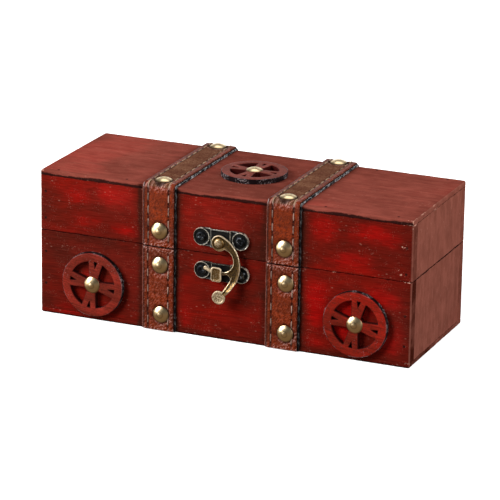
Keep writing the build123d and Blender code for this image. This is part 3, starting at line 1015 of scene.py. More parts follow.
class Finishes:
    """Every finish of the chest, made once."""

    def __init__(self) -> None:
        """Builds the shared effects and all the materials."""
        effects = Effects()
        self.wood = StainedWood().material(effects)
        self.wheel = WheelWood().material(effects)
        self.leather = StrapLeather().material(effects)
        self.backing = BlackBacking().material(effects)
        self.thread = Thread().material(effects)
        self.tack = OldMetal(
            "domed_brass", srgb(255, 228, 180), srgb(232, 198, 144), srgb(110, 76, 40),
            0.15, 0.05, 0.29, bump=0.01, reads_grime=True,
        ).material(effects)
        self.bronze = OldMetal(
            "antique_bronze_relief", srgb(246, 224, 188), srgb(128, 100, 58), srgb(32, 26, 17),
            0.25, 0.16, 0.28, bump=0.12, reads_height=True,
        ).material(effects)
        self.plate = OldMetal(
            "blackened_clasp_plate", srgb(240, 232, 214), srgb(78, 76, 72), srgb(16, 17, 19),
            0.25, 0.16, 0.28, bump=0.12, reads_height=True,
        ).material(effects)
        self.screw = OldMetal(
            "clasp_screw_metal", srgb(146, 152, 160), srgb(40, 42, 46), srgb(10, 10, 12), 0.6, 0.3, 0.2,
        ).material(effects)
        self.hinge = OldMetal(
            "aged_hinge_brass", srgb(196, 162, 92), srgb(128, 98, 50), srgb(58, 42, 22), 0.5, 0.2, 0.32
        ).material(effects)
        self.nail = OldMetal(
            "stained_iron", srgb(76, 34, 27), srgb(46, 20, 16), srgb(20, 11, 9), 0.5, 0.4, 0.8,
            metallic=0.0, specular=0.05,
        ).material(effects)


CAD_FACES = {
    Face.FRONT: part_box("base_front_board")[0].y,
    Face.BACK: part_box("base_back_board")[1].y,
    Face.TOP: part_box("lid_top_board")[1].z,
}
SEAM_HEIGHT = (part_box("base_front_board")[1].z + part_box("lid_front_board")[0].z) / 2
STRAP_SIDES = ("left", "right")
STRAP_MIDDLES = [sum(corner.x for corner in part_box(f"lid_strap_{side}_leather")) / 2 for side in STRAP_SIDES]
TACK_RADIUS = 4.75 * MM


class Grain(Enum):
    """Which way a board's fibres run."""

    ALONG_CHEST = (0, 1, 2)
    UPRIGHT = (2, 0, 1)


# Places that took knocks, as x, y and z, with the reach of the chips round them, all in millimetres
KNOCKS = (
    (111, -41, 84, 9), (112, -27, 85, 6), (112, -8, 85, 7), (112, 20, 85, 3), (109, -43, 49, 5),
    (68, -43, 49, 3), (111, -42, 2, 3), (-112, -42, 49, 3), (-111, -42, 84, 3), (-112, -43, 30, 3),
    (-110, -43, 15, 3), (-70, 42, 84, 8), (-112, 18, 84, 7), (40, 42, 1, 8),
)
# Places on the front that are chipped, clear red, dark with stain and painted shadow, or thinly stained: x, z,
# the reach along and up, in millimetres, and the share
SCARRED_PLACES = (
    (107.5, 69.5, 7, 5, 1.0), (107.5, 54.3, 7, 5, 1.0), (109, 30, 5, 4, 0.75), (107.5, 12.5, 6, 4, 0.85),
    (-20, 70, 4, 3, 0.6),
)
CLEAR_PLACES = (
    (-66, 75, 25, 12, 0.72), (-90, 73, 20, 13, 0.6), (-83, 58, 24, 12, 0.6), (-60, 56, 22, 8, 0.65),
    (-22, 73, 12, 12, 0.45), (-5, 77, 18, 8, 0.3), (-10, 56, 14, 7, 0.3), (60, 73, 20, 15, 0.95),
    (88, 73, 30, 12, 0.9), (78, 57, 30, 10, 0.8), (0, 15, 18, 9, 0.12), (-23, 10, 8, 12, 0.5),
    (18, 10, 10, 8, 0.2), (-22, 35, 8, 8, 0.45), (56, 30, 13, 24, 0.85), (56, 7, 12, 7, 0.55),
    (73, 14, 16, 11, 1.0), (80, 30, 20, 14, 0.95), (-96, 5, 18, 7, 0.8), (-80, 24, 14, 13, 0.8),
    (98, 38, 20, 14, 0.85), (102, 16, 14, 18, 0.85),
)
# Dark stain, and painted shadows to the right of the hook and of the wheels
DARK_AND_SHADOWED_PLACES = (
    (-98, 38, 26, 16, 0.75), (-58, 38, 26, 18, 0.75), (-58, 14, 22, 16, 0.75), (-100, 20, 12, 12, 0.5),
    (14, 28, 20, 16, 1.0), (20, 56, 16, 26, 0.9), (-10, 44, 20, 8, 0.6), (10, 4, 24, 6, 0.55),
    (-13, 26, 16, 13, 0.7), (101, 26, 5, 18, 0.5), (6, 80, 24, 7, 0.45), (24, 37, 13, 16, 1.3),
    (-22, 44, 10, 14, 0.9),
)
THIN_PLACES = (
    (-2, 70, 36, 26, 0.06), (104, 22, 16, 28, 0.06), (-52, 26, 14, 28, 0.05),
    (-62, 74, 34, 16, 0.06), (-78, 34, 40, 16, 0.08),
)


def places_share(points: Array, places: Sequence[Sequence[float]]) -> Array:
    """How far each point of the front lies inside oval places.

    Args:
        points: The points.
        places: For each, its x and z, its reach along and up in millimetres, and its share.

    Returns:
        A share from 0 to 1 for each point.
    """
    x, z = points[:, 0] / MM, points[:, 2] / MM
    shares = [
        share * smooth_step(np.hypot((x - at) / along, (z - up) / rise), 1.0, 0.1)
        for at, up, along, rise, share in places
    ]
    return np.max(shares, axis=0)


@dataclass(frozen=True)
class Board:
    """One board, made afresh in its CAD place with eased and worn arrises."""

    node: str
    body: str
    grain: Grain
    rounded: tuple[int, ...]
    top_radius: float
    under_radius: float
    thin_stain_and_sheen: float = 0.0
    corner_radius: float = 1.5 * MM
    ease: float = 0.25 * MM
    wear: float = 0.16 * MM
    panel_thickness: float = 4 * MM
    joint_relief: float = 0.4 * MM
    seam_relief: float = 0.5 * MM
    foot_relief: float = 1.05 * MM
    burnt_rim: float = 1.7 * MM
    strap_half: float = 10.2 * MM

    def eased(self, points: Array, low: Array, high: Array) -> Array:
        """Rounds the upright corners, then the upper and lower arrises.

        Args:
            points: The points of the square board.
            low, high: Its lowest and highest corners.

        Returns:
            The points of the eased board.
        """
        eased = points.copy()
        distance = np.full(len(points), np.inf)
        outward = np.zeros((len(points), 2))
        for axis in (0, 1):
            for side, wall in ((-1, low[axis]), (1, high[axis])):
                gap = side * (wall - points[:, axis])
                nearer = gap < distance
                distance = np.where(nearer, gap, distance)
                outward[nearer] = 0.0
                outward[nearer, axis] = side
        for side_x, wall_x in ((-1, low[0]), (1, high[0])):
            for side_y, wall_y in ((-1, low[1]), (1, high[1])):
                radius = self.corner_radius if side_y in self.rounded else self.ease
                centre = np.array([wall_x - side_x * radius, wall_y - side_y * radius])
                offset = (points[:, :2] - centre) * (side_x, side_y)
                here = (offset > 0).all(1)
                reach = np.linalg.norm(offset[here], axis=1)
                share = offset[here].max(1) / reach
                eased[here, :2] = centre + offset[here] * share[:, None] * (side_x, side_y)
                outward[here] = offset[here] / reach[:, None] * (side_x, side_y)
                distance[here] = radius - offset[here].max(1)
        for side, wall, radius in ((-1, low[2], self.under_radius), (1, high[2], self.top_radius)):
            gap = side * (wall - points[:, 2])
            inward = np.stack([radius - distance, radius - gap], 1)
            here = (inward > 0).all(1)
            reach = np.linalg.norm(inward[here], axis=1)
            share = (inward[here].max(1) / reach)[:, None]
            shift = inward[here] * (share - 1.0)
            eased[here, :2] += outward[here] * shift[:, :1]
            eased[here, 2] += side * shift[:, 1]
        return eased

    def shape(self, number: int) -> Shape:
        """Builds the board's mesh and paints its marks.

        Args:
            number: The board's number, which seeds its wear and moves its grain.

        Returns:
            The shape, with the marks grain_place, burn_gap, chips and stain.
        """
        low, high = (np.array(corner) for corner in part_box(self.node))
        points, faces = box_shell([close_cuts(a, b) for a, b in zip(low, high)])
        gaps = np.minimum(points - low, high - points)
        arris = np.sort(gaps, axis=1)[:, 1]
        eased = self.eased(points, low, high)
        near = arris < 1.3 * MM
        inward = np.where(gaps < 1.3 * MM, np.sign((low + high) / 2 - eased), 0.0)
        bite = np.clip(lumps(eased[near], 260.0, number) - 0.12, 0.0, 1.0) * self.wear
        eased[near] += inward[near] * bite[:, None]
        shift = np.array([0.37, 0.11, 0.23]) * number
        marks = {
            "grain_place": eased[:, self.grain.value] + shift,
            "burn_gap": self.burn_gap(points, low, high),
            "chips": self.chips(points, arris),
            "stain": self.stain(points, number),
        }
        return Shape(eased, faces, marks)

    def burn_gap(self, points: Array, low: Array, high: Array) -> Array:
        """The distance of each point from the nearest burnt edge.

        Args:
            points: The points of the square board.
            low, high: Its lowest and highest corners.

        Returns:
            The distances. A panel is burnt low down along its front and back edges and not at its ends,
            and a wall along the seam and the floor.
        """
        up = np.minimum(points[:, 2] - low[2], high[2] - points[:, 2])
        if high[2] - low[2] > self.panel_thickness:
            relief_here = np.where(points[:, 2] > SEAM_HEIGHT + 20 * MM, self.joint_relief, self.seam_relief)
            return up + np.where(points[:, 2] < SEAM_HEIGHT - 20 * MM, self.foot_relief, relief_here)
        side = np.minimum(points[:, 1] - low[1], high[1] - points[:, 1])
        rim = self.burnt_rim * (0.7 + 0.7 * lumps(points, 70.0, 5.0))
        return np.maximum(side, points[:, 2] - low[2] - rim)

    @staticmethod
    def chips(points: Array, arris: Array) -> Array:
        """How much a board is chipped at each point, from the places that took knocks.

        Args:
            points: The points of the square board.
            arris: Their distances from the nearest arris.

        Returns:
            A share from 0 to 1 for each point.
        """
        shares = np.zeros(len(points))
        for x, y, z, reach in KNOCKS:
            gap = np.linalg.norm(points - np.array([x, y, z]) * MM, axis=1)
            shares = np.maximum(shares, smooth_step(gap, reach * MM, 0.4 * reach * MM))
        on_front = points[:, 1] < CAD_FACES[Face.FRONT] + 1 * MM
        at_arris = np.maximum(shares, 0.35) * smooth_step(arris, 1.2 * MM, 0.2 * MM)
        return np.maximum(at_arris, on_front * places_share(points, SCARRED_PLACES))

    def stain(self, points: Array, number: int) -> Array:
        """The shares of dark stain with painted shade, clear red, and thin stain with painted sheen at each
        point.

        Args:
            points: The board's points.
            number: The board's number, which moves the clear places of unseen boards.

        Returns:
            One row of three shares for each point.
        """
        x, y, z = points.T
        clear = smooth_step(lumps(points, 22.0, number + 0.5), 0.0, 0.5) * 0.8
        on_front = y < CAD_FACES[Face.FRONT] + 3 * MM
        clear = np.where(on_front, places_share(points, CLEAR_PLACES), clear)
        beside = np.min([np.abs(np.abs(x - middle) - self.strap_half) for middle in STRAP_MIDDLES], axis=0)
        outside = (np.abs(y) > CAD_FACES[Face.BACK] - 3 * MM) | (z > CAD_FACES[Face.TOP] - 1 * MM)
        below_seam = smooth_step(SEAM_HEIGHT - z, 13 * MM, 1 * MM) * (z < SEAM_HEIGHT)
        wash_and_shade = np.max([
            # Painted shade beside both edges of every strap on the outer faces, and a narrow painted shadow
            # close along them
            0.8 * outside * smooth_step(beside, 7 * MM, 1 * MM),
            2.0 * outside * smooth_step(beside, 2.8 * MM, 0.8 * MM),
            0.45 * smooth_step(np.abs(x), 100 * MM, 111 * MM),
            np.where(x < 40 * MM, 0.7, 0.35) * below_seam,
            0.6 * smooth_step(z, 7 * MM, 1 * MM),
            # Dark stain and painted shadows to the right of the hook and the wheels
            on_front * places_share(points, DARK_AND_SHADOWED_PLACES),
        ], axis=0)
        # Less of it on the lid's top, and painted shade on the top's middle round the lid wheel
        at_top = smooth_step(z, CAD_FACES[Face.TOP] - 1 * MM, CAD_FACES[Face.TOP])
        on_middle = 0.4 * at_top * smooth_step(np.abs(x), 60 * MM, 20 * MM)
        wash_and_shade = np.maximum(wash_and_shade * (1.0 - 0.7 * at_top), on_middle)
        at_end = smooth_step(np.abs(x), 111.3 * MM, 112.4 * MM)
        # Thin stain, which on the top and the ends also paints their pale sheen
        thin = np.maximum(self.thin_stain_and_sheen, on_front * places_share(points, THIN_PLACES))
        thin = np.maximum(thin, 0.9 * at_end)
        end_grain = at_end * smooth_step(CAD_FACES[Face.BACK] - np.abs(y), 0.6 * MM, 1.4 * MM)
        wash_and_shade = wash_and_shade * (1.0 - 0.6 * at_end)
        if self.thin_stain_and_sheen == 0.0:
            wash_and_shade = wash_and_shade + end_grain * np.where(y < 0, 1.0, 0.3)
        return np.stack([wash_and_shade, clear, thin], 1)


@dataclass(frozen=True)
class Carcase:
    """The ten boards of the base and the lid."""

    finishes: Finishes
    edge_radius: float = 1.2 * MM
    seam_ease: float = 0.3 * MM

    def boards(self) -> list[Board]:
        """Lists the boards of both bodies.

        Returns:
            The boards, walls before panels.
        """
        boards = []
        ease, edge = self.seam_ease, self.edge_radius
        along, upright = Grain.ALONG_CHEST, Grain.UPRIGHT
        # The ends' thin stain also paints their pale sheen
        burnt = {"thin_stain_and_sheen": 0.92, "seam_relief": 0.25 * MM, "foot_relief": 0.2 * MM}
        for part, body in (("base", "chest"), ("lid", "lid")):
            boards += [
                Board(f"{part}_front_board", body, along, (-1,), ease, ease),
                Board(f"{part}_back_board", body, along, (1,), ease, ease),
                Board(f"{part}_left_end", body, upright, (), ease, ease, **burnt),
                Board(f"{part}_right_end", body, upright, (), ease, ease, **burnt),
            ]
        boards.append(Board("base_bottom_board", "chest", along, (-1, 1), ease, edge, burnt_rim=0.6 * MM))
        # The top's thin stain also paints its pale sheen
        boards.append(Board("lid_top_board", "lid", along, (-1, 1), edge, ease, thin_stain_and_sheen=0.58))
        return boards

    def build(self) -> None:
        """Makes the boards."""
        for number, board in enumerate(self.boards(), 1):
            name, shape = f"stained_{board.node}", board.shape(number)
            add_piece(name, shape, self.finishes.wood, board.body, [board.node], 80.0)


@dataclass(frozen=True)
class Fasteners:
    """Domed tacks and brad heads, each where its CAD solid stands."""

    finishes: Finishes
    tack_radius: float = TACK_RADIUS
    tack_height: float = 1.7 * MM
    tack_sink: float = 0.5 * MM
    dent: float = 0.012 * MM
    brad_radius: float = 0.8 * MM
    brad_rise: float = 0.08 * MM
    tack_groups: tuple[tuple[str, str, Face], ...] = (
        ("base_front_strap_tacks", "chest", Face.FRONT),
        ("base_back_strap_tacks", "chest", Face.BACK),
        ("front_wheel_tacks", "chest", Face.FRONT),
        ("lid_front_strap_tacks", "lid", Face.FRONT),
        ("lid_back_strap_tacks", "lid", Face.BACK),
        ("lid_top_strap_tacks", "lid", Face.TOP),
        ("lid_wheel_tack", "lid", Face.TOP),
    )
    brad_groups: tuple[tuple[str, str, tuple[Face, ...]], ...] = (
        ("base_bottom_brads", "chest", (Face.UNDERSIDE,)),
        ("lid_top_brads", "lid", (Face.TOP,)),
        ("base_end_brads", "chest", (Face.FRONT, Face.BACK)),
        ("lid_end_brads", "lid", (Face.FRONT, Face.BACK)),
    )

    def tack(self, seed: float) -> Shape:
        """One pressed dome with a turned-in rim and a few dents.

        Args:
            seed: Places the dents.

        Returns:
            The dome, with its top at z = 0.
        """
        shares = np.linspace(0.0, 1.0, 22)
        rim = 0.12 * self.tack_height
        heights = rim + (self.tack_height - rim) * (1.0 - shares**2) ** 0.9
        heights -= 0.13 * MM * smooth_step(shares, 0.1, 0.32)
        profile = [(share * self.tack_radius, height) for share, height in zip(shares, heights)]
        profile += [(self.tack_radius * 0.995, 0.0), (self.tack_radius * 0.96, -self.tack_sink)]
        shape = lathe(profile, 48)
        shape.points[:, 2] -= self.tack_height
        from_middle = np.linalg.norm(shape.points[:, :2], axis=1) / self.tack_radius
        crown = from_middle < 0.86
        shape.points[crown, 2] += lumps(shape.points[crown], 300.0, seed) * self.dent - self.dent / 2
        # Painted dark reflections: a dark ring at the rim and a fainter one round the nub
        at_rim = 0.6 * smooth_step(from_middle, 0.8, 0.97)
        shape.marks["grime"] = np.maximum(at_rim, 0.36 * smooth_step(np.abs(from_middle - 0.36), 0.13, 0.03))
        return shape

    def brad(self) -> Shape:
        """Turns one flat brad head that stands just clear of the wood.

        Returns:
            The head, with the wood at z = 0.
        """
        rise = self.brad_rise
        profile = [(0.0, rise), (0.55 * self.brad_radius, 0.95 * rise), (0.85 * self.brad_radius, 0.6 * rise)]
        profile += [(self.brad_radius, 0.0), (self.brad_radius, -2 * rise)]
        return lathe(profile, 16)

    def build(self) -> None:
        """Makes every tack and brad."""
        for number, (node, body, face) in enumerate(self.tack_groups):
            places = [face.seat(*box) for box in islands(node)]
            domes = [self.tack(number * 10 + i).moved(place) for i, place in enumerate(places)]
            add_piece(f"domed_{node}", Shape.joined(domes), self.finishes.tack, body, [node])
        for node, body, faces in self.brad_groups:
            # A group on both the front and the back goes by which side of the middle each brad is
            places = [faces[0 if (low + high).y < 0 else -1].seat(low, high) for low, high in islands(node)]
            heads = [self.brad().moved(place) for place in places]
            add_piece(f"headed_{node}", Shape.joined(heads), self.finishes.nail, body, [node])


@dataclass(frozen=True)
class StrapPath:
    """The line that a strap follows over the chest, with the way out at each point."""

    points: Array
    outs: Array

    @property
    def lengths(self) -> Array:
        """The distance along the line of each point."""
        steps = np.linalg.norm(np.diff(self.points, axis=0), axis=1)
        return np.concatenate([[0.0], np.cumsum(steps)])

    def at(self, along: Array) -> tuple[Array, Array]:
        """Places on the line.

        Args:
            along: Distances along it.

        Returns:
            The points and the ways out.
        """
        lengths = self.lengths
        points = np.stack([np.interp(along, lengths, self.points[:, axis]) for axis in range(3)], 1)
        outs = np.stack([np.interp(along, lengths, self.outs[:, axis]) for axis in range(3)], 1)
        return points, outs / np.linalg.norm(outs, axis=1)[:, None]

    def nearest(self, point: Vector) -> float:
        """The distance along the line of the place nearest to a point."""
        along = np.linspace(0.0, self.lengths[-1], 800)
        return float(along[np.linalg.norm(self.at(along)[0] - np.array(point), axis=1).argmin()])


@dataclass(frozen=True)
class Strap:
    """One run of leather on its backing, with two stitched rows."""

    name: str
    body: str
    middle: float
    width: float
    path: StrapPath
    tacks: tuple[Place, ...]
    scuffing: float = 0.0
    leather_low: float = 0.9 * MM
    leather_top: float = 2.2 * MM
    edge_round: float = 0.55 * MM
    crown: float = 0.12 * MM
    row_from_middle: float = 6.3 * MM
    channel_depth: float = 0.2 * MM
    channel_width: float = 0.75 * MM
    dent_depth: float = 0.34 * MM
    stitch_pitch: float = 7.4 * MM
    stitch_length: float = 4.9 * MM
    thread_radius: float = 0.29 * MM
    first_stitch: float = 3.6 * MM
    backing_overhang: float = 1.0 * MM
    tack_radius: float = TACK_RADIUS

    def stations(self) -> Array:
        """Chooses where the strap's cross-sections stand.

        Returns:
            Distances along the path, closer together near both ends and in the bends.
        """
        length = self.path.lengths[-1]
        even = np.linspace(0.0, length, max(2, round(length / (0.9 * MM))))
        near = np.array([0.06, 0.15, 0.3, 0.5]) * MM
        return np.unique(np.concatenate([even, near, length - near, self.path.lengths]).round(6))

    def tack_gap(self, across: Array, along: Array) -> Array:
        """The distance of each place on the strap from the nearest tack's middle."""
        return np.min([np.hypot(across - x, along - s) for x, s in self.tacks], axis=0)

    def top(self, across: Array, along: Array) -> Array:
        """The height of the leather's face.

        Args:
            across: The distances from the strap's middle line.
            along: The distances along the strap.

        Returns:
            The heights above the boards.
        """
        half = self.width / 2
        length = self.path.lengths[-1]
        from_side = half - np.abs(across)
        from_end = np.minimum(along, length - along)
        height = self.leather_top - self.crown * (across / half) ** 2
        height -= rounded_drop(from_side, self.edge_round)
        height -= rounded_drop(from_end, self.edge_round)
        row = np.abs(np.abs(across) - self.row_from_middle)
        height -= self.channel_depth * smooth_step(row, self.channel_width, 0.0)
        gap = self.tack_gap(across, along)
        height -= self.dent_depth * smooth_step(gap, 6.8 * MM, 4.6 * MM)
        places = np.stack([across.ravel(), along.ravel(), np.full(across.size, self.middle)], 1)
        return height + (lumps(places, 210.0, 3.0) * 0.06 * MM).reshape(across.shape)

    def swept(self, along: Array, across: Array, height: Array) -> Shape:
        """Sweeps rings of points along the path.

        Args:
            along: The distance of each ring along the path.
            across: The distances of its points from the middle line, one row for each ring.
            height: Their heights above the boards.

        Returns:
            The closed shape, with the mark strap_place.
        """
        points, outs = self.path.at(along)
        rings = points[:, None] + outs[:, None] * height[:, :, None]
        rings[:, :, 0] += self.middle + across
        rows, count = across.shape
        faces = ring_faces(rows, count)
        faces += [tuple(range(count)), tuple(range((rows - 1) * count, rows * count))]
        place = np.stack([across, np.repeat(along[:, None], count, axis=1), height], 2).reshape(-1, 3)
        return Shape(rings.reshape(-1, 3), faces, {"strap_place": place})

    def strip(self, across: Array, low: float, top: Array, reach: Array) -> Shape:
        """Makes a flat strip along the whole path.

        Args:
            across: Shares of the half width, from -1 to 1, for the upper side's points.
            low: The height of the lower side.
            top: The heights of the upper side, one row for each station.
            reach: The half width at each station, left and right.

        Returns:
            The closed strip, with the mark strap_place.
        """
        half = np.where(across[None] < 0, reach[:, :1], reach[:, 1:])
        around = np.concatenate([across[None] * half, reach[:, 1:], -reach[:, :1]], 1)
        return self.swept(self.stations(), around, np.concatenate([top, np.full((len(top), 2), low)], 1))

    def leather(self) -> Shape:
        """Shapes the leather, with its stitching channels, dents, rubbed places and painted glints at the
        bend.

        Returns:
            The leather, with the marks strap_place, rubbed (scuffs and painted glints), pressed (painted
            shade) and faded (painted sheen on the top).
        """
        half = self.width / 2
        rounds = np.array([0.0, 0.1, 0.25, 0.5, 0.8]) * MM
        inner = np.linspace(-half + 1.2 * MM, half - 1.2 * MM, 41)
        across = np.concatenate([rounds - half, inner, half - rounds[::-1]]) / half
        along = self.stations()
        u, s = np.meshgrid(across * half, along)
        reach = np.full((len(along), 2), half)
        shape = self.strip(across, self.leather_low, self.top(u, s), reach)
        place = shape.marks["strap_place"]
        rubbed = np.full(len(place), self.scuffing)
        for x, s in self.tacks:
            right, below = place[:, 0] - x, s - place[:, 1]
            gap = np.hypot(right, below)
            lean = np.clip(0.3 + 0.7 * (0.6 * right + 0.8 * below) / np.maximum(gap, MM), 0.0, 1.0)
            rubbed = np.maximum(rubbed, lean * smooth_step(gap, 8.6 * MM, 5.4 * MM))
        y, z = np.abs(shape.points[:, 1]), shape.points[:, 2]
        from_bend = np.hypot(y - CAD_FACES[Face.BACK], z - CAD_FACES[Face.TOP])
        at_rows = smooth_step(np.abs(np.abs(place[:, 0]) - self.row_from_middle), 2 * MM, 1 * MM)
        # Painted glints on the bend over the top edge, strongest along the rows
        bend_glints = (0.2 + 0.5 * at_rows) * smooth_step(from_bend, 4.5 * MM, 2 * MM)
        from_end = np.minimum(place[:, 1], along[-1] - place[:, 1])
        at_end = smooth_step(from_end, 3.6 * MM, 0.6 * MM)
        side = smooth_step(half - place[:, 0], 1.0 * MM, 0.25 * MM) * 0.25
        shape.marks["rubbed"] = np.max([rubbed, bend_glints, at_end, side], axis=0)
        shape.marks["pressed"] = self.pressed(place)
        # On the top the leather is painted paler and greyer: a painted sheen
        is_top = z > CAD_FACES[Face.TOP]
        shape.marks["faded"] = is_top * smooth_step(np.abs(place[:, 0]), 7.4 * MM, 5.4 * MM)
        return shape

    def pressed(self, place: Array) -> Array:
        """Paints shade into the leather: dark in the needle holes, along the rows, the left row most, and
        under the tacks' rims.

        Args:
            place: The distances from the middle line and along the strap, one row for each point.

        Returns:
            A share from 0 to 1 for each point.
        """
        row = np.abs(np.abs(place[:, 0]) - self.row_from_middle)
        shares = np.where(place[:, 0] < 0, 0.75, 0.3) * smooth_step(row, 1.0 * MM, 0.3 * MM)
        ring = np.abs(self.tack_gap(place[:, 0], place[:, 1]) - self.tack_radius)
        shares = np.maximum(shares, 0.9 * smooth_step(ring, 0.9 * MM, 0.3 * MM))
        for across, middle in self.runs():
            ends = np.abs(np.abs(place[:, 1] - middle) - self.stitch_length / 2 - 0.3 * MM)
            gap = np.hypot(ends, place[:, 0] - across)
            shares = np.maximum(shares, smooth_step(gap, 1.1 * MM, 0.4 * MM))
        return shares

    def backing(self) -> Shape:
        """Shapes the black strip, which stands out beyond the leather with a ragged edge.

        Returns:
            The strip, with the marks strap_place and frayed.
        """
        along = self.stations()
        places = np.stack([along, along * 0, np.full(len(along), self.middle)], 1)
        ragged = np.stack([lumps(places, 700.0, seed) for seed in (1.0, 2.0)], 1)
        reach = self.width / 2 + self.backing_overhang + ragged * 0.3 * MM
        across = np.concatenate([[-1.0, -0.985, -0.95], np.linspace(-0.9, 0.9, 7), [0.95, 0.985, 1.0]])
        from_side = (1.0 - np.abs(across)) * self.width / 2
        drop = rounded_drop(from_side, 0.4 * MM) * 0.8
        top = np.tile(self.leather_low + 0.25 * MM - drop, (len(along), 1))
        inner = np.abs(across) < 0.93
        top[:, inner] = self.leather_low
        shape = self.strip(across, 0.0, top, reach)
        shape.marks["frayed"] = np.where(shape.points[:, 2] > CAD_FACES[Face.TOP] - 1 * MM, 1.0, 0.25)
        return shape

    def runs(self) -> list[Place]:
        """Where the runs of thread show between their needle holes.

        Returns:
            For each run, its distance from the middle line and its place along the strap.
        """
        length = self.path.lengths[-1]
        start = self.first_stitch + self.stitch_length / 2
        count = int((length - 2 * start) / self.stitch_pitch) + 1
        found = []
        for row in (-1, 1):
            for number, middle in enumerate(np.linspace(start, length - start, count)):
                wobble = 0.2 * MM * math.sin(12.9898 * number + 4.1 * row)
                across = row * self.row_from_middle + wobble
                if self.tack_gap(np.array(across), np.array(middle)) > 5.2 * MM:
                    found.append((across, float(middle)))
        return found

    def stitching(self) -> Shape:
        """Lays the thread, a short run over each pair of holes.

        Returns:
            The thread, with the marks strap_place and faded.
        """
        shape = Shape.joined([self.run(across, middle) for across, middle in self.runs()])
        shape.marks["faded"] = 1.0 * (shape.points[:, 2] > CAD_FACES[Face.TOP])
        return shape

    def run(self, across: float, middle: float) -> Shape:
        """One short run of thread.

        Args:
            across: Its distance from the strap's middle line.
            middle: The place of its middle along the strap.

        Returns:
            The run, whose two ends dip into their holes.
        """
        shares = np.linspace(-1.0, 1.0, 9)
        along = middle + shares * self.stitch_length / 2
        lift = self.top(np.full(len(along), across), along) + self.thread_radius * (0.75 - 1.9 * shares**6)
        turns = np.linspace(0, 2 * math.pi, 8, endpoint=False)
        radius = self.thread_radius * (1.0 - 0.35 * shares**4)[:, None]
        around = across + radius * np.cos(turns) * 1.15
        return self.swept(along, around, lift[:, None] + radius * np.sin(turns))

    def build(self, finishes: Finishes) -> None:
        """Makes the leather, the backing and the thread.

        Args:
            finishes: The chest's finishes.
        """
        for word, part, shape, finish in (
            ("stitched", "leather", self.leather(), finishes.leather),
            ("ragged", "backing", self.backing(), finishes.backing),
        ):
            node = f"{self.name}_{part}"
            add_piece(f"{word}_{node}", shape, finish, self.body, [node], 70.0)
        add_piece(f"{self.name}_stitching", self.stitching(), finishes.thread, self.body)


@dataclass(frozen=True)
class Straps:
    """The six straps: two over the lid, two up the front and two up the back."""

    finishes: Finishes
    bend_radius: float = 1.2 * MM
    tack_reach: float = 10 * MM

    def upright_path(self, low: float, high: float, face: Face) -> StrapPath:
        """A straight run from one height to another on the front or the back."""
        points = np.array([[0.0, CAD_FACES[face], height] for height in (low, high)])
        return StrapPath(points, np.array([face.value, face.value]))

    def lid_path(self, low: float) -> StrapPath:
        """The run up the front of the lid, over the top and down the back.

        Args:
            low: The height of both ends.

        Returns:
            The path, from the front end to the back end.
        """
        front, back, top = CAD_FACES[Face.FRONT], CAD_FACES[Face.BACK], CAD_FACES[Face.TOP]
        radius = self.bend_radius
        points = [(0.0, front, low)]
        outs = [(0.0, -1.0, 0.0)]
        for centre_y, start in ((front + radius, 180.0), (back - radius, 90.0)):
            for angle in np.radians(np.linspace(start, start - 90.0, 9)):
                way = (0.0, math.cos(angle), math.sin(angle))
                points.append((0.0, centre_y + radius * way[1], top - radius + radius * way[2]))
                outs.append(way)
        points.append((0.0, back, low))
        outs.append((0.0, 1.0, 0.0))
        return StrapPath(np.array(points), np.array(outs))

    def tacks_on(self, path: StrapPath, middle: float, nodes: Sequence[str]) -> tuple[Place, ...]:
        """Finds a strap's tacks.

        Args:
            path: The strap's path.
            middle: The strap's middle line.
            nodes: The CAD nodes that hold its tacks.

        Returns:
            For each tack, its distance from the middle line and its place along the strap.
        """
        centres = [(low + high) / 2 for node in nodes for low, high in islands(node)]
        near = [centre for centre in centres if abs(centre.x - middle) < self.tack_reach]
        return tuple((centre.x - middle, path.nearest(Vector((0.0, centre.y, centre.z)))) for centre in near)

    def straps(self) -> list[Strap]:
        """Works out the six straps from their CAD nodes.

        Returns:
            The straps.
        """
        found = []
        for name, scuffing in zip(STRAP_SIDES, (0.14, 0.05)):
            low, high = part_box(f"lid_strap_{name}_leather")
            middle, width = (low.x + high.x) / 2, high.x - low.x
            path = self.lid_path(low.z)
            nodes = ("lid_front_strap_tacks", "lid_top_strap_tacks", "lid_back_strap_tacks")
            tacks = self.tacks_on(path, middle, nodes)
            found.append(Strap(f"lid_strap_{name}", "lid", middle, width, path, tacks))
            for face in (Face.FRONT, Face.BACK):
                side = face.name.lower()
                low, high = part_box(f"{side}_strap_{name}_leather")
                path = self.upright_path(low.z, high.z, face)
                tacks = self.tacks_on(path, middle, (f"base_{side}_strap_tacks",))
                found.append(Strap(f"{side}_strap_{name}", "chest", middle, width, path, tacks, scuffing))
        return found

    def build(self) -> None:
        """Makes the straps."""
        for strap in self.straps():
            strap.build(self.finishes)


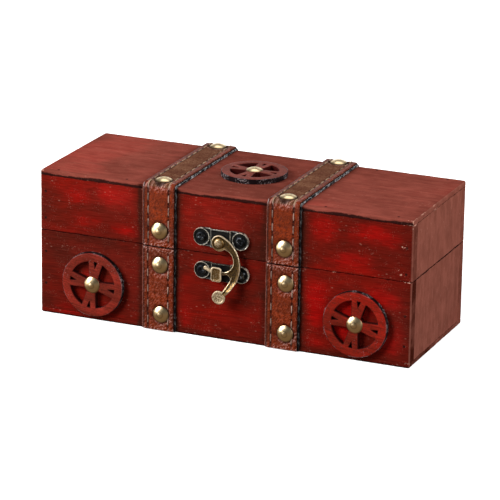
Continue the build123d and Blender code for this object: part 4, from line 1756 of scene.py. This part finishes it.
@dataclass(frozen=True)
class Wheel:
    """A pierced wheel ornament with four pairs of spokes."""

    rim: float = 5.1 * MM
    hub_radius: float = 5.2 * MM
    spoke_at_rim: float = 9.0 * MM
    spoke_at_hub: float = 4.0 * MM
    slit_width: float = 2.1 * MM
    slit_length: float = 3.8 * MM
    tack_hole: float = 0.85 * MM
    ease: float = 0.28 * MM
    spacing: float = 0.9 * MM

    def window(self, radius: float) -> Loop:
        """One opening between two spokes.

        Args:
            radius: The radius where the rim starts.

        Returns:
            The outline, for the quarter between 0 and 90 degrees.
        """
        hub, slope = self.hub_radius, (self.spoke_at_rim - self.spoke_at_hub) / (2 * radius)
        start = self.spoke_at_hub / 2

        def edge_angle(reach: float) -> float:
            """Finds where a spoke's edge crosses a circle.

            Args:
                reach: The circle's radius.

            Returns:
                The angle.
            """
            a, b, c = 1 + slope**2, 2 * start * slope, start**2 - reach**2
            x = (-b + math.sqrt(b * b - 4 * a * c)) / (2 * a)
            return heading((x, start + slope * x))

        outer, inner = edge_angle(radius), edge_angle(hub)
        return np.concatenate([
            arc((0, 0), radius, outer, 90 - outer, 0.7 * MM),
            [polar(radius, 90 - outer)],
            arc((0, 0), hub, 90 - inner, inner, 0.7 * MM),
            [polar(hub, inner)],
        ])

    def slit(self, radius: float) -> Loop:
        """The narrow cut that parts a pair of spokes, for the pair along x.

        Args:
            radius: The radius where the rim starts.

        Returns:
            The outline.
        """
        half = math.degrees(math.asin(self.slit_width / 2 / radius))
        rim_side = arc((0, 0), radius, -half, half, 0.6 * MM)
        return np.concatenate([rim_side, [polar(radius, half), (radius - self.slit_length, 0.0)]])

    def shape(self, radius: float, thickness: float) -> Shape:
        """Cuts the wheel out of board.

        Args:
            radius: The outer radius.
            thickness: The board's thickness.

        Returns:
            The wheel lying on z = 0, with the marks from_cut and from_middle.
        """
        inner = radius - self.rim
        holes = []
        for quarter in range(4):
            turn = math.radians(90 * quarter)
            matrix = np.array([[math.cos(turn), math.sin(turn)], [-math.sin(turn), math.cos(turn)]])
            holes += [self.window(inner) @ matrix, self.slit(inner) @ matrix]
        holes.append(arc((0, 0), self.tack_hole, 0, 360))
        outline = arc((0, 0), radius, 0, 360, 0.8 * MM)

        def front(_: Array, distance: Array) -> Array:
            """The face, falling at each arris."""
            return thickness - rounded_drop(distance, self.ease) * 0.8

        shape = relief([outline, *holes], front, 0.0, self.spacing)
        shape.marks["from_cut"] = shape.marks.pop("edge")
        shape.marks["from_middle"] = np.linalg.norm(shape.points[:, :2], axis=1)
        return shape


@dataclass(frozen=True)
class Wheels:
    """The three wheels, each where its CAD node is."""

    finishes: Finishes
    front_turn: float = -9.3
    lid_turn: float = -4.0

    def build(self) -> None:
        """Makes the wheels."""
        # The last value of each is the share of paler, duller colour; on the lid wheel it paints the top's
        # sheen
        places = (
            ("front_wheel_left", "chest", Face.FRONT, self.front_turn, 0.4),
            ("front_wheel_right", "chest", Face.FRONT, self.front_turn, 0.0),
            ("lid_wheel", "lid", Face.TOP, self.lid_turn, 0.9),
        )
        for number, (node, body, face, turn, faded) in enumerate(places):
            low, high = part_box(node)
            out = Vector(face.value)
            thickness = abs((high - low).dot(out))
            radius = (high.x - low.x) / 2
            middle = (low + high) / 2 - out * thickness / 2
            place = face.place(middle) @ Matrix.Rotation(math.radians(turn), 4, "Z")
            shape = Wheel().shape(radius, thickness)
            shape.marks["grain_place"] = shape.points + 0.19 * (number + 1)
            shape.marks["faded"] = np.full(len(shape.points), faded)
            add_piece(f"pierced_{node}", shape.moved(place), self.finishes.wheel, body, [node])


@dataclass(frozen=True)
class PressedPlate:
    """A pressed clasp plate: raised middle and a rim round each screw seat."""

    node: str
    body: str
    sheet: float = 1.0 * MM
    pressed_rise: float = 1.3 * MM
    pressed_half_width: float = 5.4 * MM
    pressed_slope: float = 1.2 * MM
    seat_from_middle: float = 11.9 * MM
    rim_from_edge: float = 0.5 * MM
    rim_half_width: float = 0.42 * MM
    rim_rise: float = 0.55 * MM
    border: float = 0.35 * MM

    def lift(self, points: Array) -> Array:
        """How far the sheet is pressed up at each point."""
        foot = self.pressed_half_width + self.pressed_slope
        return self.pressed_rise * smooth_step(np.abs(points[:, 0]), foot, self.pressed_half_width)

    def rims(self, points: Array) -> Array:
        """Finds the raised rims round the screw seats.

        Args:
            points: Points of the plate.

        Returns:
            A share from 0 to 1 for each point.
        """
        gap = np.hypot(np.abs(points[:, 0]) - self.seat_from_middle, points[:, 1])
        radius = np.abs(points[:, 1]).max() - self.rim_from_edge
        return smooth_step(np.abs(gap - radius), self.rim_half_width, 0.1 * MM)

    def shape(self) -> Shape:
        """Presses the plate.

        Returns:
            The plate lying on z = 0, with the mark raised for what is rubbed bright and for a painted
            highlight along the pressed step.
        """
        low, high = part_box(self.node)
        half_height = (high.z - low.z) / 2
        straight = (high.x - low.x) / 2 - half_height
        outline = np.concatenate([
            arc((straight, 0), half_height, -90, 90),
            [[x, half_height] for x in np.arange(straight, -straight, -0.4 * MM)],
            arc((-straight, 0), half_height, 90, 270),
            [[x, -half_height] for x in np.arange(-straight, straight, 0.4 * MM)],
        ])

        def front(points: Array, distance: Array) -> Array:
            """Shapes the pressed face.

            Args:
                points: Points of the plate.
                distance: Their distances from its edge.

            Returns:
                The heights.
            """
            height = self.sheet + self.lift(points) + self.rim_rise * self.rims(points)
            border = 0.3 * MM * smooth_step(distance, 1.0 * MM, 0.4 * MM)
            return height + border - rounded_drop(distance, self.border)

        def back(points: Array, _: Array) -> Array:
            """The face on the wood."""
            return self.lift(points)

        shape = relief([outline], front, back, 0.32 * MM)
        edge = shape.marks.pop("edge")
        # Painted highlight along the slope of the pressed middle
        slope = np.abs(np.abs(shape.points[:, 0]) - self.pressed_half_width - self.pressed_slope * 0.35)
        step_highlight = smooth_step(slope, 0.6 * MM, 0.1 * MM) * 0.8
        bright_edge = smooth_step(edge, 0.75 * MM, 0.15 * MM) * (edge > 0) * 0.7
        shape.marks["raised"] = np.max([self.rims(shape.points), step_highlight, bright_edge], axis=0)
        return shape

    def build(self, finishes: Finishes) -> None:
        """Makes the plate in its CAD place.

        Args:
            finishes: The chest's finishes.
        """
        low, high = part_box(self.node)
        middle = Vector(((low.x + high.x) / 2, CAD_FACES[Face.FRONT], (low.z + high.z) / 2))
        shape = self.shape().moved(Face.FRONT.place(middle))
        add_piece(f"pressed_{self.node}", shape, finishes.plate, self.body, [self.node])


@dataclass(frozen=True)
class SwingHook:
    """The flat hook: eye, curved arm, beak and a finger tab that bends outwards."""

    thickness: float = 1.4 * MM
    eye_radius: float = 4.6 * MM
    shoulder_angle: float = 62.0
    shoulder: Place = (8.5 * MM, -0.7 * MM)
    widest: Place = (12.8 * MM, -12.4 * MM)
    heel: Place = (11.3 * MM, -20.0 * MM)
    neck_outer: Place = (4.9 * MM, -29.4 * MM)
    neck_inner: Place = (3.2 * MM, -27.4 * MM)
    tail_inner: Place = (5.9 * MM, -22.6 * MM)
    crotch: Place = (7.3 * MM, -19.5 * MM)
    throat: Place = (8.7 * MM, -9.8 * MM)
    throat_top: Place = (3.2 * MM, -3.2 * MM)
    beak_inner: float = 16.6 * MM
    beak_outer: float = 18.3 * MM
    beak_root: float = -74.0
    beak_tip: float = -118.0
    knob_radius: float = 1.15 * MM
    tab_centre: Place = (1.2 * MM, -30.7 * MM)
    tab_radius: float = 3.9 * MM
    bend_start: float = 21.5 * MM
    bend_end: float = 26.6 * MM
    tab_rise: float = 2.8 * MM
    edge_round: float = 0.4 * MM
    hollow: float = 0.3 * MM
    rivet_hole: float = 1.25 * MM
    bright_beak_at: float = 17.4 * MM

    def outline(self) -> Loop:
        """Follows the hook's edge once round.

        Returns:
            The closed outline, with the pivot at the origin.
        """
        tab = np.array(self.tab_centre)
        neck = [heading(place - tab) for place in (self.neck_outer, self.neck_inner)]
        tip = polar((self.beak_inner + self.beak_outer) / 2, self.beak_tip)
        root, bow, end = self.beak_root, (self.beak_root + self.beak_tip) / 2, self.beak_tip + 3
        outer_root, outer_bow, outer_tip = (polar(self.beak_outer, angle) for angle in (root, bow, end))
        inner_root, inner_bow, inner_tip = (polar(self.beak_inner, angle) for angle in (root, bow, end))
        around = [heading(place - tip) for place in (outer_tip, inner_tip)]
        return np.concatenate([
            arc_through(polar(self.eye_radius, self.shoulder_angle), self.shoulder, self.widest),
            arc_through(self.widest, self.heel, self.neck_outer),
            arc(tab, self.tab_radius, neck[0], neck[1] - 360),
            arc_through(self.neck_inner, self.tail_inner, self.crotch),
            np.linspace(self.crotch, outer_root, 8, endpoint=False),
            arc_through(outer_root, outer_bow, outer_tip),
            arc(tip, self.knob_radius, around[0], around[1] - (360 if around[1] > around[0] else 0)),
            arc_through(inner_tip, inner_bow, inner_root),
            arc_through(inner_root, self.throat, self.throat_top),
            arc((0, 0), self.eye_radius, heading(self.throat_top), self.shoulder_angle - 360),
        ])

    def bend(self, points: Array) -> Array:
        """How far the tail stands out at each point."""
        length = self.bend_end - self.bend_start
        return self.tab_rise * np.clip((-points[:, 1] - self.bend_start) / length, 0, 1)

    def shape(self) -> Shape:
        """Cuts and shapes the hook.

        Returns:
            The hook, with its back at z = 0 and the mark raised for what is rubbed bright.
        """
        hole = arc((0, 0), self.rivet_hole, 0, 360)

        def front(points: Array, distance: Array) -> Array:
            """The face: rounded edges and a shallow hollow down the arm."""
            height = self.thickness + self.bend(points) - rounded_drop(distance, self.edge_round)
            return height - self.hollow * smooth_step(distance, 0.55 * MM, 1.5 * MM)

        def back(points: Array, distance: Array) -> Array:
            """The back, with softened edges."""
            return self.bend(points) + rounded_drop(distance, self.edge_round / 2)

        shape = relief([self.outline(), hole], front, back, 0.34 * MM)
        edge = shape.marks.pop("edge")
        bright_edge = smooth_step(edge, 0.85 * MM, 0.25 * MM) * (edge > 0)
        from_tab = np.hypot(*(shape.points[:, :2] - np.array(self.tab_centre)).T)
        from_tip = np.hypot(*(shape.points[:, :2] - polar(self.bright_beak_at, self.beak_tip)).T)
        bright_tab = smooth_step(from_tab, 5.0 * MM, 3.2 * MM) * 0.78
        bright_beak = smooth_step(from_tip, 12.0 * MM, 8.0 * MM)
        arm = 0.27 * (edge > 0)
        shape.marks["raised"] = np.max([bright_edge, bright_tab, bright_beak, arm], axis=0)
        return shape

    def build(self, finishes: Finishes, pivot: Vector) -> None:
        """Makes the hook on its pivot.

        Args:
            finishes: The chest's finishes.
            pivot: The middle of its eye, at any depth.
        """
        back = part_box("swing_hook")[1].y
        shape = self.shape().moved(Face.FRONT.place(Vector((pivot.x, back, pivot.z))))
        add_piece("curved_swing_hook", shape, finishes.bronze, "hook", ["swing_hook"])


@dataclass(frozen=True)
class KeeperTab:
    """The small pressed tab that keeps the hook's beak, on its root below the beak."""

    thickness: float = 1.0 * MM
    width: float = 6.3 * MM
    height: float = 8.5 * MM
    corner: float = 1.5 * MM
    root_height: float = 2.6 * MM
    plate_top: float = 2.3 * MM

    def slab(self, width: float, height: float, corner: float, low: float, high: float, sunk: float) -> Shape:
        """A rounded slab with a sunk middle.

        Args:
            width, height: Its size.
            corner: The radius of its corners.
            low, high: The depths of its back and front.
            sunk: How far its middle lies below its border.

        Returns:
            The slab, with the mark raised.
        """
        x, y = width / 2 - corner, height / 2 - corner
        outline = np.concatenate([
            arc((x, -y), corner, -90, 0),
            arc((x, y), corner, 0, 90),
            arc((-x, y), corner, 90, 180),
            arc((-x, -y), corner, 180, 270),
        ])

        def front(_: Array, distance: Array) -> Array:
            """The face."""
            return high - rounded_drop(distance, 0.45 * MM) - sunk * smooth_step(distance, 0.8 * MM, 1.5 * MM)

        shape = relief([outline], front, low, 0.34 * MM)
        edge = shape.marks.pop("edge")
        shape.marks["raised"] = np.maximum(smooth_step(edge, 1.1 * MM, 0.4 * MM), 0.63) * (edge > 0)
        return shape

    def build(self, finishes: Finishes) -> None:
        """Makes the tab and its root in their CAD place.

        Args:
            finishes: The chest's finishes.
        """
        low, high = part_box("keeper_tab")
        wall = CAD_FACES[Face.FRONT]
        top = wall - low.y
        tab = self.slab(self.width, self.height, self.corner, top - self.thickness, top, 0.28 * MM)
        root_top = top - self.thickness / 2
        root_width = self.width - 2 * self.corner
        root = self.slab(root_width, self.root_height, 0.5 * MM, self.plate_top, root_top, 0.0)
        root.points[:, 1] += (self.root_height - self.height) / 2
        middle = Vector(((low.x + high.x) / 2, wall, high.z - self.height / 2))
        shape = Shape.joined([tab, root]).moved(Face.FRONT.place(middle))
        add_piece("pressed_keeper_tab", shape, finishes.bronze, "chest", ["keeper_tab"])


@dataclass(frozen=True)
class ClaspFasteners:
    """The rivet that carries the hook and the four cross-head screws."""

    rivet_radius: float = 3.0 * MM
    rivet_height: float = 1.05 * MM
    screw_radius: float = 2.75 * MM
    screw_height: float = 1.1 * MM
    slot_half_length: float = 1.75 * MM
    slot_half_width: float = 0.42 * MM
    slot_depth: float = 0.65 * MM

    def rivet(self) -> Shape:
        """Turns the rivet, with a satin dome.

        Returns:
            The rivet, with its top at z = 0 and the mark raised.
        """
        shares = np.linspace(0.0, 1.0, 12)
        heights = self.rivet_height * (1.0 - shares**2.6) ** 0.6 - self.rivet_height
        profile = [(share * self.rivet_radius, height) for share, height in zip(shares, heights)]
        under = -self.rivet_height - 0.1 * MM
        shank = ((0.94, under), (0.4, under), (0.4, -2.6 * MM))
        profile += [(share * self.rivet_radius, height) for share, height in shank]
        shape = lathe(profile, 40)
        crown = np.linalg.norm(shape.points[:, :2], axis=1) / self.rivet_radius
        shape.marks["raised"] = 0.55 + 0.18 * (crown < 0.8)
        return shape

    def screw(self, seed: float) -> Shape:
        """One cross-head screw.

        Args:
            seed: Turns its slots.

        Returns:
            The head, with its top at z = 0.
        """
        turn = seed * 1.7
        turned = np.array([[math.cos(turn), -math.sin(turn)], [math.sin(turn), math.cos(turn)]])

        def front(points: Array, distance: Array) -> Array:
            """Shapes the low dome with its cross slot.

            Args:
                points: Points of the head.
                distance: Their distances from its edge.

            Returns:
                The heights.
            """
            across = np.abs(points @ turned)
            in_slot = np.zeros(len(points))
            for along, side in ((0, 1), (1, 0)):
                long_way = smooth_step(across[:, along] - self.slot_half_length, 0.1 * MM, -0.2 * MM)
                wide = smooth_step(across[:, side] - self.slot_half_width, 0.15 * MM, -0.1 * MM)
                in_slot = np.maximum(in_slot, long_way * wide)
            return -rounded_drop(distance, 0.9 * MM) * 0.7 - self.slot_depth * in_slot

        shape = relief([arc((0, 0), self.screw_radius, 0, 360)], front, -self.screw_height, 0.2 * MM)
        del shape.marks["edge"]
        return shape

    def build(self, finishes: Finishes) -> None:
        """Makes the rivet and the screws.

        Args:
            finishes: The chest's finishes.
        """
        rivet = self.rivet().moved(Face.FRONT.seat(*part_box("hook_rivet")))
        add_piece("domed_hook_rivet", rivet, finishes.bronze, "lid", ["hook_rivet"])
        for number, (node, body) in enumerate((("latch_screws", "lid"), ("keeper_screws", "chest"))):
            places = [Face.FRONT.seat(*box) for box in islands(node)]
            heads = [self.screw(number * 2 + i + 1).moved(place) for i, place in enumerate(places)]
            add_piece(f"slotted_{node}", Shape.joined(heads), finishes.screw, body, [node])


@dataclass(frozen=True)
class Clasp:
    """The whole swing hook clasp."""

    finishes: Finishes

    def build(self) -> None:
        """Makes both plates, the keeper tab, the fasteners and the hook."""
        PressedPlate("latch_plate", "lid").build(self.finishes)
        PressedPlate("keeper_plate", "chest").build(self.finishes)
        KeeperTab().build(self.finishes)
        ClaspFasteners().build(self.finishes)
        pivot = next(joint for joint in frame["joints"] if joint["name"] == "hook_pivot")
        SwingHook().build(self.finishes, Vector(pivot["pos_m"]))


@dataclass(frozen=True)
class Hinges:
    """The two butt hinges, whose CAD solids stay and get softened arrises."""

    finishes: Finishes
    weld: float = 0.002 * MM
    bevel: float = 0.16 * MM

    def build(self) -> None:
        """Dresses the leaves, pins and nails."""
        for node, piece in frame["nodes"].items():
            if "hinge" not in node:
                continue
            piece.data.materials.clear()
            piece.data.materials.append(self.finishes.hinge)
            welded = piece.modifiers.new("weld", "WELD")
            welded.merge_threshold = self.weld
            softened = piece.modifiers.new("softened_arrises", "BEVEL")
            softened.width = self.bevel
            softened.segments = 2
            softened.limit_method = "ANGLE"
            softened.angle_limit = math.radians(35)
            softened.harden_normals = True
            log.info("%s: dressed", node)


@dataclass(frozen=True)
class SoftBox:
    """A large soft light."""

    name: str
    place: tuple[float, float, float]
    size: tuple[float, float]
    power: float

    def build(self, aim: Vector) -> None:
        """Hangs the light.

        Args:
            aim: The place that it is turned to.
        """
        light = bpy.data.lights.new(self.name, "AREA")
        light.shape = "RECTANGLE"
        light.size, light.size_y = self.size
        light.energy = self.power
        hung = bpy.data.objects.new(self.name, light)
        hung.location = self.place
        hung.rotation_euler = (aim - Vector(self.place)).to_track_quat("-Z", "Y").to_euler()
        bpy.context.scene.collection.objects.link(hung)


@dataclass(frozen=True)
class Studio:
    """A pale floor, white surroundings, soft lights and the camera of the photograph."""

    aim: tuple[float, float, float] = (-0.61 * MM, -0.9 * MM, 40.56 * MM)
    distance: float = 1796.1 * MM
    azimuth: float = 22.86
    elevation: float = 17.91
    roll: float = 0.88
    lens: float = 227.82
    floor_half: float = 3.0
    lights: tuple[SoftBox, ...] = (
        SoftBox("key", (-0.95, -0.86, 0.87), (0.7, 0.7), 20.0),
        SoftBox("left", (-1.15, -0.95, 0.35), (0.5, 1.3), 10.5),
        SoftBox("fill", (1.15, -0.8, 0.45), (0.35, 0.9), 3.5),
        SoftBox("right", (1.3, -0.1, 0.5), (0.5, 0.9), 9.0),
        SoftBox("top", (0.0, 0.4, 1.3), (1.2, 0.8), 4.5),
        SoftBox("back", (-0.54, 1.32, 0.5), (1.2, 0.6), 2.0),
    )

    def camera(self) -> None:
        """Places the camera."""
        azimuth, elevation = math.radians(self.azimuth), math.radians(self.elevation)
        level = math.cos(elevation)
        way = Vector((math.sin(azimuth) * level, -math.cos(azimuth) * level, math.sin(elevation)))
        data = bpy.data.cameras.new("camera")
        data.lens = self.lens
        data.sensor_width = 36.0
        camera = bpy.data.objects.new("camera", data)
        camera.location = Vector(self.aim) + way * self.distance
        turned = (-way).to_track_quat("-Z", "Y") @ Quaternion((0, 0, 1), math.radians(self.roll))
        camera.rotation_mode = "QUATERNION"
        camera.rotation_quaternion = turned
        bpy.context.scene.collection.objects.link(camera)
        bpy.context.scene.camera = camera

    def floor(self) -> None:
        """Lays the floor, white to the camera and dark in front of the chest in reflections."""
        half = self.floor_half
        mesh = bpy.data.meshes.new("floor")
        corners = ((-half, -half), (half, -half), (half, half), (-half, half))
        mesh.from_pydata([(x, y, -0.05 * MM) for x, y in corners], [], [(0, 1, 2, 3)])
        floor = bpy.data.objects.new("floor", mesh)
        bpy.context.scene.collection.objects.link(floor)
        material, graph, shader = new_material("pale_floor")
        dress(graph, shader, {
            "Base Color": (0.9, 0.9, 0.9),
            "Roughness": 0.9,
            "Specular IOR Level": 0.1,
            "Emission Color": (1.0, 1.0, 1.0),
            "Emission Strength": 0.8,
        })
        place = graph.split(graph.node("TexCoord", {}).outputs["Object"])
        right = graph.ramp(place["X"], 0.2, 0.42, 0.0, 0.45)
        share = graph.math("MAXIMUM", graph.ramp(place["X"], -0.09, -0.26), right)
        glow = graph.node("Emission", {
            "Color": graph.mix(share, (1.0, 0.68, 0.4), (1.0, 1.0, 1.0)),
            "Strength": graph.ramp(share, 0.0, 1.0, 0.14, 1.6),
        })
        path = graph.node("LightPath", {})
        feeds = {0: path.outputs["Is Camera Ray"], 1: glow.outputs[0], 2: shader.outputs[0]}
        blend = graph.node("MixShader", feeds)
        output = material.node_tree.nodes["Material Output"]
        graph.feed(output.inputs["Surface"], blend.outputs[0])
        mesh.materials.append(material)

    def surroundings(self) -> None:
        """White to the camera, and softly shaded from back to front to everything else."""
        world = bpy.data.worlds.new("studio")
        world.use_nodes = True
        bpy.context.scene.world = world
        graph = Graph(world.node_tree)
        way = graph.node("TexCoord", {}).outputs["Generated"]
        parts = graph.split(way)
        level = graph.plus(graph.times(parts["Z"], 0.1), graph.times(parts["Y"], 0.08))
        strength = graph.math("MAXIMUM", graph.plus(level, 0.08), 0.02)
        path = graph.node("LightPath", {}).outputs["Is Camera Ray"]
        shown = graph.plus(path, graph.times(strength, graph.minus(1.0, path)))
        background = world.node_tree.nodes["Background"]
        graph.feed(background.inputs["Color"], (1.0, 1.0, 1.0))
        graph.feed(background.inputs["Strength"], shown)

    def build(self) -> None:
        """Sets up the whole studio."""
        self.camera()
        self.floor()
        self.surroundings()
        for light in self.lights:
            light.build(Vector(self.aim))
        bpy.context.scene.view_settings.view_transform = "Standard"
        bpy.context.scene.view_settings.look = "None"
        log.info("studio: camera, floor and %d lights", len(self.lights))


def write_sizes() -> None:
    """Brings the view layer up to date."""
    bpy.context.view_layer.update()


def main() -> None:
    """Builds the studio and every sub-assembly of the chest."""
    logging.basicConfig(level=logging.INFO, format="%(message)s")
    Studio().build()
    finishes = Finishes()
    for assembly in (Carcase, Fasteners, Straps, Wheels, Clasp, Hinges):
        assembly(finishes).build()
    write_sizes()


if __name__ == "__main__":
    main()
